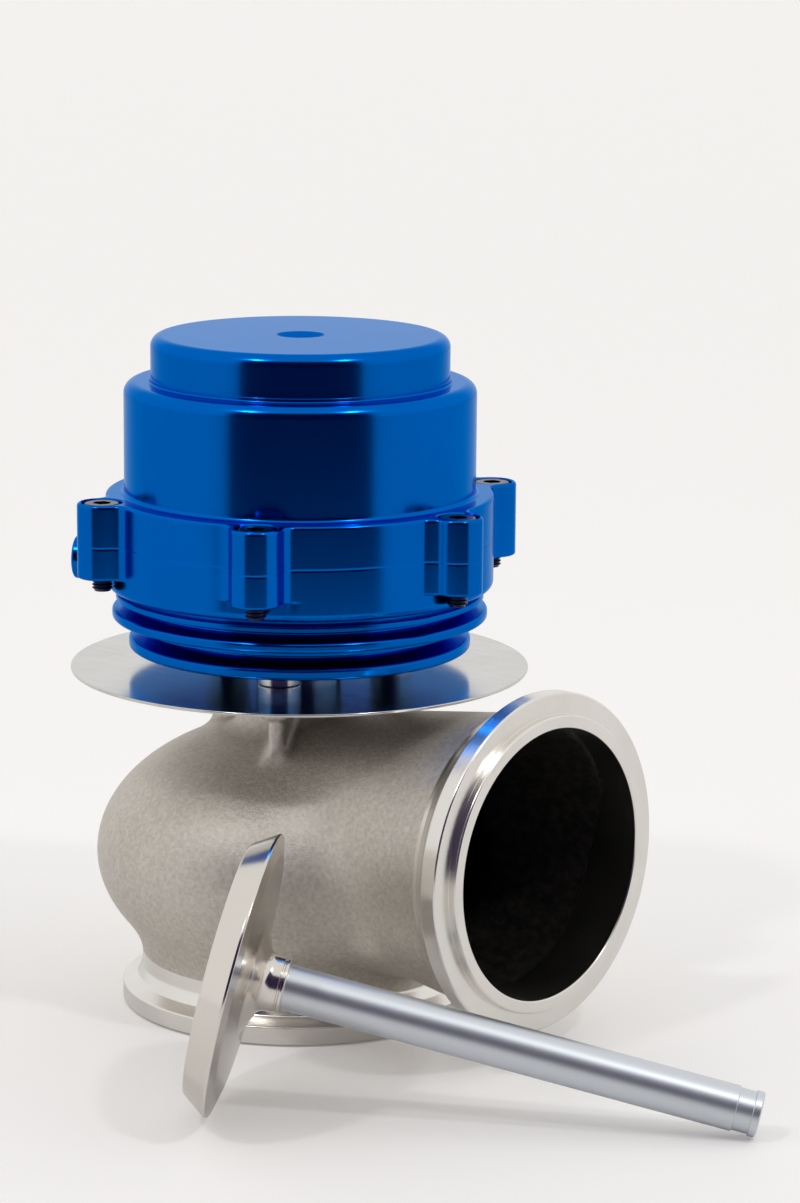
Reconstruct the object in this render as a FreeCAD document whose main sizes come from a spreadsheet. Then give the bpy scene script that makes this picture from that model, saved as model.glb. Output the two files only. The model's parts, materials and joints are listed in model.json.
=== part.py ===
# External wastegate with V-band ports: a cast valve body with a poppet valve, and above it, on three
# stand-offs and behind a heat shield, an aluminium diaphragm actuator with springs.
# Millimetres. The origin is the centre of the inlet flange's face, +Z runs up the valve stem and +X
# runs along the outlet. Radii are written as radii.
import FreeCAD, Part
import math
import os
import re
import Sketcher

doc = FreeCAD.newDocument("Wastegate")

# ---------------------------------------------------------------- driving dimensions
sizes = [
    # cast body
    ("inlet_flange_radius", 42.9, "rim of the inlet V-band flange"),
    ("inlet_land", 4.3, "straight part of that rim"),
    ("inlet_neck_radius", 38.2, "neck between the inlet flange and the bulb"),
    ("flange_slope", 20, "slope of the V-band cones, degrees"),
    ("throat_radius", 34.5, "bore above the seat, which the valve head lifts into"),
    ("bulb_radius", 49, "bulb of the body, across"),
    ("bulb_over_tube", 6.7, "bulb's half height beyond the cast tube's radius"),
    ("bulb_level", 36.9, "height of the bulb's middle"),
    ("bulb_wall", 4, "wall of the casting"),
    ("outlet_level", 46.6, "height of the outlet's axis"),
    ("outlet_reach", 76.3, "outlet flange's face, from the stem axis"),
    ("outlet_flange_radius", 40, "rim of the outlet V-band flange"),
    ("outlet_land", 4, "straight part of that rim"),
    ("outlet_bore_radius", 31.9, "machined mouth of the outlet"),
    ("outlet_bore_depth", 12, "length of that mouth"),
    ("pilot_radius", 35, "raised pilot ring on the outlet's face"),
    ("pilot_height", 1.9, "how far the pilot ring stands out"),
    ("tube_drop", 1.3, "the cast tube's axis lies this much under the flange's"),
    ("tube_root_radius", 25.6, "cast tube at the stem axis"),
    ("tube_flare", 8, "its half angle, degrees"),
    ("blend_radius", 6, "cast blend between the bulb and the tube"),
    ("tower_radius", 14.3, "tower that carries the valve guide"),
    ("tower_inner_radius", 12.5, "its lower end inside the bulb"),
    ("tower_foot_level", 57, "height of that lower end"),
    ("web_thickness", 3.8, "three webs from the tower to the posts"),
    ("web_reach", 27.5, "outer edge of the webs"),
    ("web_drop", 6.95, "where the webs meet the post pads, under the heat shield"),
    # stack between the body and the actuator
    ("joint_over_shield", 32.35, "joint between housing and cap above the heat shield's underside"),
    ("shield_thickness", 0.75, "heat shield sheet"),
    ("shield_radius", 55, "heat shield, outside"),
    ("post_circle", 23.3, "circle of the three posts"),
    ("post_radius", 5.1, "posts"),
    ("post_count", 3, "posts"),
    ("post_height", 4.6, "gap that the posts hold open"),
    ("base_screw_radius", 2.5, "screws through the posts"),
    ("base_screw_length", 15.5, "their length under the head"),
    ("spigot_radius", 10.2, "the tower's spigot through the heat shield"),
    # actuator housing
    ("drum_wall", 5.1, "housing and cap flange, outside the clamped rim of the diaphragm"),
    ("drum_bottom", 14.7, "drum's lower edge above the housing's foot"),
    ("ring_step", 1.4, "upper cooling ring's lip inside the drum"),
    ("ring_bottom", 7.4, "its underside above the housing's foot"),
    ("ring_lip", 2.2, "height of that lip"),
    ("ring_cone", 2.3, "height of the cone from the lip up to the ring's neck"),
    ("foot_step", 5.4, "lower cooling ring's lip inside the drum"),
    ("foot_lip", 2.5, "height of that lip"),
    ("foot_cone", 2.8, "height of the cone from the lip up to the ring's neck"),
    ("neck_step", 2.1, "each ring's neck inside its lip"),
    ("tip_height", 14, "valve stem's tip above the joint of housing and cap"),
    ("chamber_step", 1.4, "lower chamber inside the convolution"),
    ("floor_thickness", 7, "housing floor"),
    ("lug_offset", 2.6, "circle of the cap screws outside the drum"),
    ("lug_radius", 5.9, "screw lugs"),
    ("lug_blend", 4, "concave blend between a lug and the drum"),
    ("lug_count", 6, "screw lugs"),
    ("lug_drop", 7.7, "lugs of the housing, under the joint"),
    ("screw_radius", 2.5, "cap screws"),
    ("screw_head_radius", 4.25, "socket heads"),
    ("screw_head_height", 5, "socket heads"),
    ("screw_length", 16, "cap screws under the head"),
    ("hex_socket", 4, "hexagon socket, across flats"),
    ("counterbore_radius", 4.95, "counterbores in the cap's lugs"),
    ("counterbore_depth", 5.2, "their depth"),
    ("side_port_radius", 4.3, "side ports of the lower chamber"),
    ("side_port_drop", 8, "side ports' axis under the joint"),
    ("side_plug_radius", 5.2, "plug in one side port"),
    ("side_plug_height", 9, "its outer face outside the drum"),
    # cap
    ("cap_flange", 10.3, "cap flange above the joint"),
    ("cap_side", 4.1, "main cylinder of the cap outside the convolution"),
    ("cap_shoulder", 37.1, "shoulder above the joint"),
    ("crown_step", 6.4, "upper cylinder of the cap inside the main one"),
    ("cap_height", 48, "cap above the joint"),
    ("cap_wall", 3.7, "wall of the cap"),
    ("port_radius", 4.3, "threaded port in the crown"),
    ("port_mouth_radius", 5.75, "its countersunk mouth"),
    ("port_boss_radius", 9, "boss round the port, inside"),
    ("port_boss_height", 6, "that boss under the ceiling"),
    # valve
    ("valve_face_radius", 28.6, "valve head, small end of its seat cone"),
    ("valve_head_radius", 32.4, "valve head, rim"),
    ("valve_cone", 5.6, "height of the seat cone"),
    ("valve_length", 123.7, "valve, from its face to its tip"),
    ("valve_level", 4.6, "the closed valve's face above the inlet face"),
    ("stem_radius", 5.15, "valve stem"),
    ("collar_radius", 6.4, "collar between the head and the stem"),
    ("collar_height", 15.6, "collar's end above the valve's face"),
    ("stem_lip", 1.8, "lip at the stem's tip"),
    ("stem_groove", 3.7, "keeper groove under that lip"),
    ("stem_groove_radius", 4.8, "bottom of that groove"),
    ("seat_outer_radius", 36, "seat ring"),
    ("seat_bore_radius", 28.7, "flow bore of the seat ring"),
    ("seat_height", 8.2, "seat ring"),
    ("guide_radius", 8, "valve guide, outside"),
    ("guide_rise", 2.55, "upper end of the valve guide above the heat shield's underside"),
    ("guide_length", 31, "valve guide"),
    ("seal_radius", 9.5, "stem seal, outside"),
    ("seal_height", 3.2, "stem seal"),
    ("seal_cover_thickness", 1.2, "ring over the stem seal"),
    # diaphragm stack
    ("bead_width", 3.4, "clamped rim of the diaphragm, outside its convolution"),
    ("bead_height", 1.5, "clamped rim of the diaphragm"),
    ("skin", 1.2, "diaphragm sheet"),
    ("fold_outer_radius", 37.9, "convolution, outside"),
    ("fold_width", 6.3, "convolution"),
    ("fold_play", 0.6, "convolution outside the spring plate"),
    ("fold_height", 7.2, "convolution above the centre disc"),
    ("plate_edge", 1.6, "spring plate outside the outer spring"),
    ("plate_thickness", 3, "spring plate"),
    ("plate_rim", 2.6, "upturned rim of the spring plate"),
    ("backing_step", 1.6, "backing plate inside the convolution"),
    ("backing_thickness", 2.6, "backing plate"),
    ("hub_radius", 11.5, "hub of the spring plate"),
    ("spigot_thread_radius", 10, "hub's threaded end under the diaphragm"),
    ("nut_radius", 15, "ring nut on that end, across its corners"),
    ("nut_height", 3.6, "ring nut"),
    ("keeper_radius", 8, "split keepers, outside"),
    ("clip_thickness", 1, "snap ring over the keepers"),
    # springs
    ("outer_wire_radius", 2.2, "outer spring's wire"),
    ("middle_wire_radius", 1.7, "middle spring's wire"),
    ("inner_wire_radius", 1.3, "inner spring's wire"),
    ("outer_pitch", 10.5, "outer spring's pitch"),
    ("middle_pitch", 9, "middle spring's pitch"),
    ("inner_pitch", 7.5, "inner spring's pitch"),
    # spare valve standing in front of the body
    ("spare_rim_x", 45.1, "where its rim touches the floor"),
    ("spare_rim_y", -79.1, "where its rim touches the floor"),
    ("spare_turn", 33.4, "direction of its stem on the floor, degrees"),
    # clearances
    ("fit_gap", 0.05, "radial play of fitted and screwed pieces"),
    ("running_gap", 0.05, "radial play of the stem in its guide"),
    ("face_gap", 0.1, "play between stacked moving pieces"),
    ("passage_gap", 0.45, "play of the stem where it only passes through"),
]
# sizes that follow from those: the valve's length carries the heat shield and the actuator, the springs
# share the room between the hub and the diaphragm's convolution, and housing and cap close round that
followers = [
    ("bulb_half_height", "tube_root_radius + bulb_over_tube", "bulb of the body, from its middle to its top"),
    ("joint_level", "valve_level + valve_length - tip_height", "joint between the housing and the cap"),
    ("shield_level", "joint_level - joint_over_shield", "underside of the heat shield"),
    ("web_top", "shield_level - web_drop", "where the webs meet the post pads"),
    ("guide_top", "shield_level + guide_rise", "upper end of the valve guide"),
    ("fold_inner_radius", "fold_outer_radius - fold_width", "convolution, inside"),
    ("plate_radius", "fold_inner_radius - fold_play", "spring plate"),
    ("coil_room", "plate_radius - plate_edge - hub_radius", "room for the three springs round the hub"),
    ("coil_gap", "(coil_room - 2 * (inner_wire_radius + middle_wire_radius + outer_wire_radius)) / 3",
     "between one spring and the next, and to the hub"),
    ("inner_coil_radius", "hub_radius + coil_gap + inner_wire_radius", "inner spring, at the wire's middle"),
    ("middle_coil_radius", "inner_coil_radius + inner_wire_radius + coil_gap + middle_wire_radius",
     "middle spring"),
    ("outer_coil_radius", "middle_coil_radius + middle_wire_radius + coil_gap + outer_wire_radius",
     "outer spring"),
    ("backing_radius", "fold_inner_radius - backing_step", "backing plate under the diaphragm"),
    ("bead_radius", "fold_outer_radius + bead_width", "clamped rim of the diaphragm, outside"),
    ("chamber_radius", "fold_outer_radius - chamber_step", "lower chamber"),
    ("drum_radius", "bead_radius + drum_wall", "housing and cap flange"),
    ("ring_radius", "drum_radius - ring_step", "upper cooling ring"),
    ("foot_radius", "drum_radius - foot_step", "lower cooling ring"),
    ("lug_circle", "drum_radius + lug_offset", "circle of the cap screws"),
    ("side_plug_reach", "drum_radius + side_plug_height", "outer face of the side port's plug"),
    ("cap_radius", "fold_outer_radius + cap_side", "main cylinder of the cap"),
    ("crown_radius", "cap_radius - crown_step", "upper cylinder of the cap"),
]
sheet = doc.addObject("Spreadsheet::Sheet", "Sizes")
entries = sizes + [(alias, "=" + formula, note) for alias, formula, note in followers]
for row, (alias, value, note) in enumerate(entries, start=1):
    sheet.set("A%d" % row, alias)
    sheet.set("B%d" % row, str(value))
    sheet.set("C%d" % row, note)
    sheet.setAlias("B%d" % row, alias)
doc.recompute()
aliases = {alias for alias, value, note in entries}


def bound(formula):
    """A formula of aliases as the expression that other objects take."""
    def named(match):
        word = match.group()
        return "Sizes." + word if word in aliases else word
    return re.sub(r"[a-z_]+", named, formula)


def number(formula):
    """The present value of a formula of aliases."""
    value = sheet.evalExpression(bound(formula))
    return float(getattr(value, "Value", value))


# levels that several pieces share, as formulas of the driving dimensions
shieldTop = "(shield_level + shield_thickness)"
housingFoot = "(shield_level + shield_thickness + post_height)"
floorTop = "(shield_level + shield_thickness + post_height + floor_thickness)"
flangeTop = "(joint_level + cap_flange)"
capTop = "(joint_level + cap_height)"
ceiling = "(joint_level + cap_height - cap_wall - 0.6)"
discBottom = "(joint_level - face_gap)"
discTop = "(joint_level - face_gap + skin)"
plateBottom = "(joint_level + skin)"
plateTop = "(joint_level + skin + plate_thickness)"
keeperBottom = "(valve_level + valve_length - stem_lip - stem_groove)"
keeperTop = "(valve_level + valve_length - stem_lip)"
hubTop = "(valve_level + valve_length)"
backingBottom = "(joint_level - 2 * face_gap - backing_thickness)"
nutBottom = "(joint_level - 3 * face_gap - backing_thickness - nut_height)"


# ---------------------------------------------------------------- drawing helpers
def newBody(name):
    body = doc.addObject("PartDesign::Body", name)
    body.Label = name
    return body


def originFeature(body, role):
    return next(item for item in body.Origin.OriginFeatures if item.Role == role)


def newSketch(body, name, plane="XZ_Plane", shift_x=None, shift_y=None, level=None):
    """A sketch on one of the body's planes. Its origin may be shifted in the plane or lifted off it."""
    sketch = body.newObject("Sketcher::SketchObject", body.Name + "_" + name)
    sketch.AttachmentSupport = [(originFeature(body, plane), "")]
    sketch.MapMode = "FlatFace"
    for axis, formula in (("x", shift_x), ("y", shift_y), ("z", level)):
        if formula is not None:
            sketch.setExpression("AttachmentOffset.Base." + axis, bound(formula))
    return sketch


def pinned(geometry, vertex, x, y):
    """The two rules that tie a vertex to the sketch's origin, each with its formula."""
    rules = []
    for kind, formula, axis in (("DistanceX", x, -2), ("DistanceY", y, -1)):
        if formula == "0":
            rules.append((Sketcher.Constraint("PointOnObject", geometry, vertex, axis), None))
        else:
            rules.append((Sketcher.Constraint(kind, -1, 1, geometry, vertex, number(formula)), formula))
    return rules


def sized(geometry, formula):
    return (Sketcher.Constraint("Radius", geometry, number(formula)), formula)


def joined(kind, *ends):
    return (Sketcher.Constraint(kind, *ends), None)


def rule(sketch, rules):
    """Adds the rules in one step, then binds the ones that have a formula."""
    first = sketch.ConstraintCount
    sketch.addConstraint([constraint for constraint, formula in rules])
    for index, (constraint, formula) in enumerate(rules):
        if formula is not None:
            sketch.setExpression("Constraints[%d]" % (first + index), bound(formula))


def arcThrough(centre, radius, first, last, turnsLeft):
    """An arc round a centre, laid counter-clockwise as sketches keep them."""
    if not turnsLeft:
        first, last = last, first
    begin = math.atan2(first.y - centre.y, first.x - centre.x)
    finish = math.atan2(last.y - centre.y, last.x - centre.x)
    if finish < begin:
        finish += 2 * math.pi
    return Part.ArcOfCircle(Part.Circle(centre, FreeCAD.Vector(0, 0, 1), radius), begin, finish)


def outline(sketch, corners):
    """A closed outline of straight runs. A corner is (x, y) or (x, y, radius) where it is rounded."""
    points = [FreeCAD.Vector(number(corner[0]), number(corner[1]), 0) for corner in corners]
    starts, ends, rounds = [], [], []
    for index, corner in enumerate(corners):
        here = points[index]
        if len(corner) == 2:
            starts.append(here)
            ends.append(here)
            rounds.append(None)
            continue
        radius = number(corner[2])
        back = (points[index - 1] - here).normalize()
        ahead = (points[(index + 1) % len(points)] - here).normalize()
        half = back.getAngle(ahead) / 2
        reach = radius / math.tan(half)
        centre = here + (back + ahead).normalize() * (radius / math.sin(half))
        starts.append(here + back * reach)
        ends.append(here + ahead * reach)
        turnsLeft = ahead.cross(back).z > 0
        rounds.append((arcThrough(centre, radius, starts[-1], ends[-1], turnsLeft), turnsLeft))
    count = len(corners)
    lines = [sketch.addGeometry(Part.LineSegment(ends[index], starts[(index + 1) % count]), False)
             for index in range(count)]
    rules = []
    for index, corner in enumerate(corners):
        before, after = lines[index - 1], lines[index]
        if rounds[index] is None:
            rules.append(joined("Coincident", before, 2, after, 1))
            rules += pinned(after, 1, corner[0], corner[1])
            continue
        curve, turnsLeft = rounds[index]
        arc = sketch.addGeometry(curve, False)
        mark = sketch.addGeometry(Part.Point(points[index]), True)
        first, last = (1, 2) if turnsLeft else (2, 1)
        rules.append(joined("Tangent", before, 2, arc, first))
        rules.append(joined("Tangent", arc, last, after, 1))
        rules.append(joined("PointOnObject", mark, 1, before))
        rules.append(joined("PointOnObject", mark, 1, after))
        rules.append(sized(arc, corner[2]))
        rules += pinned(mark, 1, corner[0], corner[1])
    rule(sketch, rules)


def circle(sketch, x, y, radius):
    centre = FreeCAD.Vector(number(x), number(y), 0)
    geometry = sketch.addGeometry(Part.Circle(centre, FreeCAD.Vector(0, 0, 1), number(radius)), False)
    rule(sketch, pinned(geometry, 3, x, y) + [sized(geometry, radius)])


def hexagon(sketch, x, flats):
    """A regular hexagon centred on the sketch's X axis."""
    half = "(%s) / 2" % flats
    tip = "(%s) / sqrt(3)" % flats
    side = "(%s) / sqrt(12)" % flats
    corners = [("+ " + tip, "0"), ("+ " + side, half), ("- " + side, half),
               ("- " + tip, "0"), ("- " + side, "-" + half), ("+ " + side, "-" + half)]
    outline(sketch, [("%s %s" % (x, offset), height) for offset, height in corners])


def turned(body, sketch, cut=False, axis="V_Axis"):
    kind = "PartDesign::Groove" if cut else "PartDesign::Revolution"
    feature = body.newObject(kind, sketch.Name + ("_cut" if cut else "_turned"))
    feature.Profile = sketch
    feature.ReferenceAxis = (sketch, [axis])
    feature.Angle = 360
    sketch.Visibility = False
    return feature


def padded(body, sketch, length):
    feature = body.newObject("PartDesign::Pad", sketch.Name + "_pad")
    feature.Profile = sketch
    feature.setExpression("Length", bound(length))
    return feature


def pocketed(body, sketch, length):
    feature = body.newObject("PartDesign::Pocket", sketch.Name + "_pocket")
    feature.Profile = sketch
    feature.setExpression("Length", bound(length))
    return feature


def repeated(body, features, count, name):
    pattern = body.newObject("PartDesign::PolarPattern", body.Name + "_" + name)
    pattern.Originals = features
    pattern.Axis = (originFeature(body, "Z_Axis"), [""])
    pattern.Angle = 360
    pattern.setExpression("Occurrences", bound(count))
    body.Tip = pattern
    return pattern


def ringPiece(name, corners):
    """A turned piece from one closed outline of (radius, height) corners."""
    body = newBody(name)
    sketch = newSketch(body, "section")
    outline(sketch, corners)
    turned(body, sketch)
    return body


# ---------------------------------------------------------------- cast valve body
def makeValveBody():
    body = newBody("valve_body")

    bulb = body.newObject("PartDesign::AdditiveEllipsoid", "bulb")
    bulb.AttachmentSupport = [(originFeature(body, "XY_Plane"), "")]
    bulb.MapMode = "FlatFace"
    bulb.setExpression("AttachmentOffset.Base.z", bound("bulb_level"))
    bulb.setExpression("Radius1", bound("bulb_half_height"))
    bulb.setExpression("Radius2", bound("bulb_radius"))

    tube = newSketch(body, "tube", shift_y="outlet_level - tube_drop")
    tubeEnd = "(outlet_reach - outlet_land - 4)"
    outline(tube, [
        ("0", "0"),
        ("0", "tube_root_radius"),
        (tubeEnd, "tube_root_radius + %s * tan(tube_flare)" % tubeEnd),
        (tubeEnd, "0"),
    ])
    turned(body, tube, axis="H_Axis")

    tower = newSketch(body, "tower")
    outline(tower, [
        ("0", "bulb_level"),
        ("tower_radius", "bulb_level"),
        ("tower_radius", "shield_level", "0.6"),
        ("spigot_radius", "shield_level"),
        ("spigot_radius", housingFoot),
        ("0", housingFoot),
    ])
    turned(body, tower)

    doc.recompute()
    root = body.Tip
    seam = [name for name, edge in namedEdges(root.Shape) if onBulbAndTube(edge)]
    blend = body.newObject("PartDesign::Fillet", "bulb_tube_blend")
    blend.Base = (root, seam)
    blend.setExpression("Radius", bound("blend_radius"))

    neck = newSketch(body, "inlet")
    cone = "(inlet_flange_radius - inlet_neck_radius) * tan(flange_slope)"
    outline(neck, [
        ("0", "0"),
        ("inlet_flange_radius", "0", "0.4"),
        ("inlet_flange_radius", "inlet_land", "0.4"),
        ("inlet_neck_radius", "inlet_land + " + cone, "2"),
        ("inlet_neck_radius", "bulb_level - 0.8 * bulb_half_height"),
        ("0.86 * inlet_neck_radius", "bulb_level - 0.5 * bulb_half_height"),
        ("0", "bulb_level - 0.5 * bulb_half_height"),
    ])
    turned(body, neck)

    flange = newSketch(body, "outlet", shift_y="outlet_level")
    backCone = "(outlet_flange_radius - 0.86 * outlet_flange_radius) * tan(flange_slope)"
    outline(flange, [
        ("outlet_reach - outlet_land - 7", "0"),
        ("outlet_reach - outlet_land - 7", "0.86 * outlet_flange_radius"),
        ("outlet_reach - outlet_land - " + backCone, "0.86 * outlet_flange_radius", "1.5"),
        ("outlet_reach - outlet_land", "outlet_flange_radius", "0.4"),
        ("outlet_reach", "outlet_flange_radius", "0.4"),
        ("outlet_reach", "pilot_radius"),
        ("outlet_reach + pilot_height", "pilot_radius", "0.5"),
        ("outlet_reach + pilot_height", "0"),
    ])
    turned(body, flange, axis="H_Axis")

    web = newSketch(body, "web", "XY_Plane", level="bulb_level")
    outline(web, [
        ("0", "-web_thickness / 2"),
        ("0", "web_thickness / 2"),
        ("-web_reach", "web_thickness / 2", "0.8"),
        ("-web_reach", "-web_thickness / 2", "0.8"),
    ])
    webPad = padded(body, web, "web_top - bulb_level")
    padSketch = newSketch(body, "post_pad", "XY_Plane", level="web_top")
    circle(padSketch, "-post_circle", "0", "post_radius")
    postPad = padded(body, padSketch, "shield_level - web_top")
    repeated(body, [webPad, postPad], "post_count", "webs")

    hollow = body.newObject("PartDesign::SubtractiveEllipsoid", "chamber")
    hollow.AttachmentSupport = [(originFeature(body, "XY_Plane"), "")]
    hollow.MapMode = "FlatFace"
    hollow.setExpression("AttachmentOffset.Base.z", bound("bulb_level"))
    hollow.setExpression("Radius1", bound("bulb_half_height - bulb_wall"))
    hollow.setExpression("Radius2", bound("bulb_radius - bulb_wall"))

    throat = newSketch(body, "throat")
    outline(throat, [
        ("0", "-1"),
        ("seat_outer_radius + fit_gap", "-1"),
        ("seat_outer_radius + fit_gap", "seat_height"),
        ("throat_radius", "seat_height"),
        ("throat_radius", "bulb_level"),
        ("0", "bulb_level"),
    ])
    turned(body, throat, cut=True)

    passage = newSketch(body, "passage", shift_y="outlet_level - tube_drop")
    outline(passage, [
        ("0", "0"),
        ("0", "tube_root_radius - bulb_wall + 1"),
        ("outlet_reach - outlet_bore_depth + 2",
         "tube_root_radius - bulb_wall + 1 + (outlet_reach - outlet_bore_depth + 2) * tan(tube_flare)"),
        ("outlet_reach - outlet_bore_depth + 2", "0"),
    ])
    turned(body, passage, cut=True, axis="H_Axis")

    mouth = newSketch(body, "mouth", shift_y="outlet_level")
    outline(mouth, [
        ("outlet_reach - outlet_bore_depth", "0"),
        ("outlet_reach - outlet_bore_depth", "outlet_bore_radius"),
        ("outlet_reach + pilot_height + 1", "outlet_bore_radius"),
        ("outlet_reach + pilot_height + 1", "0"),
    ])
    turned(body, mouth, cut=True, axis="H_Axis")

    inner = newSketch(body, "inner_tower")
    outline(inner, [
        ("0", "tower_foot_level"),
        ("tower_inner_radius", "tower_foot_level", "1.5"),
        ("tower_inner_radius", "bulb_level + bulb_half_height - 1"),
        ("0", "bulb_level + bulb_half_height - 1"),
    ])
    turned(body, inner)

    bore = newSketch(body, "guide_bore")
    outline(bore, [
        ("0", "tower_foot_level - 1"),
        ("guide_radius + fit_gap", "tower_foot_level - 1"),
        ("guide_radius + fit_gap", housingFoot + " + 1"),
        ("0", housingFoot + " + 1"),
    ])
    turned(body, bore, cut=True)

    tapped = newSketch(body, "tapped", "XY_Plane", level="shield_level")
    circle(tapped, "-post_circle", "0", "base_screw_radius + fit_gap")
    hole = pocketed(body, tapped, "shield_level - web_top - 0.4")
    repeated(body, [hole], "post_count", "tapped_holes")
    return body


def namedEdges(shape):
    return [("Edge%d" % (index + 1), edge) for index, edge in enumerate(shape.Edges)]


def onBulbAndTube(edge):
    """True where an edge lies on the bulb's ellipsoid and on the tube's cone."""
    first, last = edge.ParameterRange
    for share in (0.2, 0.5, 0.8):
        point = edge.valueAt(first + (last - first) * share)
        flat = math.hypot(point.x, point.y) / number("bulb_radius")
        tall = (point.z - number("bulb_level")) / number("bulb_half_height")
        onBulb = abs(math.hypot(flat, tall) - 1) < 0.002
        across = math.hypot(point.y, point.z - number("outlet_level - tube_drop"))
        cone = number("tube_root_radius") + point.x * math.tan(math.radians(number("tube_flare")))
        if not onBulb or abs(across - cone) > 0.05 or point.x < 1:
            return False
    return True


# ---------------------------------------------------------------- valve, seat and guide
def valveSection(body):
    """Half section of the valve, with its face at height 0."""
    section = newSketch(body, "section")
    rim = "valve_cone + 0.6"
    outline(section, [
        ("0", "0"),
        ("valve_face_radius", "0", "0.8"),
        ("valve_head_radius", "valve_cone"),
        ("valve_head_radius", rim),
        ("0.86 * valve_head_radius", rim + " + 1"),
        ("collar_radius", rim + " + 1.9", "4"),
        ("collar_radius", "collar_height", "0.5"),
        ("stem_radius", "collar_height"),
        ("stem_radius", "valve_length - stem_lip - stem_groove"),
        ("stem_groove_radius", "valve_length - stem_lip - stem_groove"),
        ("stem_groove_radius", "valve_length - stem_lip"),
        ("stem_radius", "valve_length - stem_lip"),
        ("stem_radius", "valve_length", "0.4"),
        ("0", "valve_length"),
    ])
    turned(body, section)


def makeValve():
    body = newBody("valve")
    valveSection(body)
    body.setExpression("Placement.Base.z", bound("valve_level"))
    return body


def makeSeat():
    """Its cone lies a little outside the closed valve's, and its bore ends just under the valve's face."""
    coneFoot = "(valve_level - face_gap)"
    slope = "(valve_head_radius - valve_face_radius) / valve_cone"
    return ringPiece("valve_seat", [
        ("seat_bore_radius", "0"),
        ("seat_outer_radius", "0", "0.5"),
        ("seat_outer_radius", "seat_height"),
        ("seat_bore_radius + (seat_height - %s) * %s" % (coneFoot, slope), "seat_height"),
        ("seat_bore_radius", coneFoot),
    ])


def makeGuide():
    return ringPiece("valve_guide", [
        ("stem_radius + running_gap", "guide_top - guide_length", "0.5"),
        ("guide_radius", "guide_top - guide_length", "1"),
        ("guide_radius", "guide_top", "0.4"),
        ("stem_radius + running_gap", "guide_top", "0.4"),
    ])


# ---------------------------------------------------------------- heat shield, posts, base screws
def makeShield():
    body = newBody("heat_shield")
    disc = newSketch(body, "disc", "XY_Plane", level="shield_level")
    circle(disc, "0", "0", "shield_radius")
    circle(disc, "0", "0", "spigot_radius + 0.3")
    padded(body, disc, "shield_thickness")
    holes = newSketch(body, "holes", "XY_Plane", level=shieldTop)
    circle(holes, "-post_circle", "0", "base_screw_radius + 0.2")
    repeated(body, [pocketed(body, holes, "shield_thickness + 1")], "post_count", "post_holes")
    return body


def atCircle(body, radius, angle, level="0"):
    """Places a piece that was drawn at the origin on a circle round the stem axis."""
    body.setExpression("Placement.Base.x", bound("(%s) * cos(%s)" % (radius, angle)))
    body.setExpression("Placement.Base.y", bound("(%s) * sin(%s)" % (radius, angle)))
    body.setExpression("Placement.Base.z", bound(level))
    return body


def postAngle(index):
    return "180 + 360 * %d / post_count" % index


def lugAngle(index):
    return "360 * %d / lug_count" % index


def makePost(index):
    body = ringPiece("standoff_%d" % (index + 1), [
        ("base_screw_radius + 0.2", "0"),
        ("post_radius", "0", "0.3"),
        ("post_radius", "post_height", "0.3"),
        ("base_screw_radius + 0.2", "post_height"),
    ])
    return atCircle(body, "post_circle", postAngle(index), shieldTop)


def makeScrew(name, length):
    """Socket head screw with the underside of its head at height 0."""
    body = ringPiece(name, [
        ("0", "-" + length),
        ("screw_radius", "-" + length, "0.7"),
        ("screw_radius", "0"),
        ("screw_head_radius", "0"),
        ("screw_head_radius", "screw_head_height", "0.4"),
        ("0", "screw_head_height"),
    ])
    socket = newSketch(body, "socket", "XY_Plane", level="screw_head_height")
    hexagon(socket, "0", "hex_socket")
    pocketed(body, socket, "screw_head_height / 2")
    return body


def makeBaseScrew(index):
    body = makeScrew("base_screw_%d" % (index + 1), "base_screw_length")
    return atCircle(body, "post_circle", postAngle(index), floorTop + " - 3")


def makeCapScrew(index):
    body = makeScrew("cap_screw_%d" % (index + 1), "screw_length")
    return atCircle(body, "lug_circle", lugAngle(index), flangeTop + " - counterbore_depth")


# ---------------------------------------------------------------- actuator housing and cap
def lugOutline(sketch):
    """One lug on the X axis: its round end, a concave blend each side, and a chord inside the drum."""
    drum, lug = number("drum_radius"), number("lug_radius")
    blend, reach = number("lug_blend"), number("lug_circle")
    turn = math.acos(((drum + blend) ** 2 + reach ** 2 - (lug + blend) ** 2) / (2 * (drum + blend) * reach))
    origin = FreeCAD.Vector(0, 0, 0)
    lugCentre = FreeCAD.Vector(reach, 0, 0)
    across, aside = (drum + blend) * math.cos(turn), (drum + blend) * math.sin(turn)
    centres = [FreeCAD.Vector(across, -aside, 0), FreeCAD.Vector(across, aside, 0)]
    drumPoints = [centre * (drum / (drum + blend)) for centre in centres]
    lugPoints = [lugCentre + (centre - lugCentre).normalize() * lug for centre in centres]
    right = sketch.addGeometry(arcThrough(centres[0], blend, drumPoints[0], lugPoints[0], False), False)
    nose = sketch.addGeometry(arcThrough(lugCentre, lug, lugPoints[0], lugPoints[1], True), False)
    left = sketch.addGeometry(arcThrough(centres[1], blend, lugPoints[1], drumPoints[1], False), False)
    chord = sketch.addGeometry(Part.LineSegment(drumPoints[1], drumPoints[0]), False)
    rim = sketch.addGeometry(Part.Circle(origin, FreeCAD.Vector(0, 0, 1), drum), True)
    rules = [joined("Coincident", rim, 3, -1, 1), sized(rim, "drum_radius")]
    rules += pinned(nose, 3, "lug_circle", "0") + [sized(nose, "lug_radius")]
    for arc, lugEnd, noseEnd, drumEnd, chordEnd in ((right, 1, 1, 2, 2), (left, 2, 2, 1, 1)):
        rules.append(joined("Tangent", arc, lugEnd, nose, noseEnd))
        rules.append(joined("Coincident", arc, drumEnd, chord, chordEnd))
        rules.append(joined("Tangent", arc, drumEnd, rim))
        rules.append(sized(arc, "lug_blend"))
    rule(sketch, rules)


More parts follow.
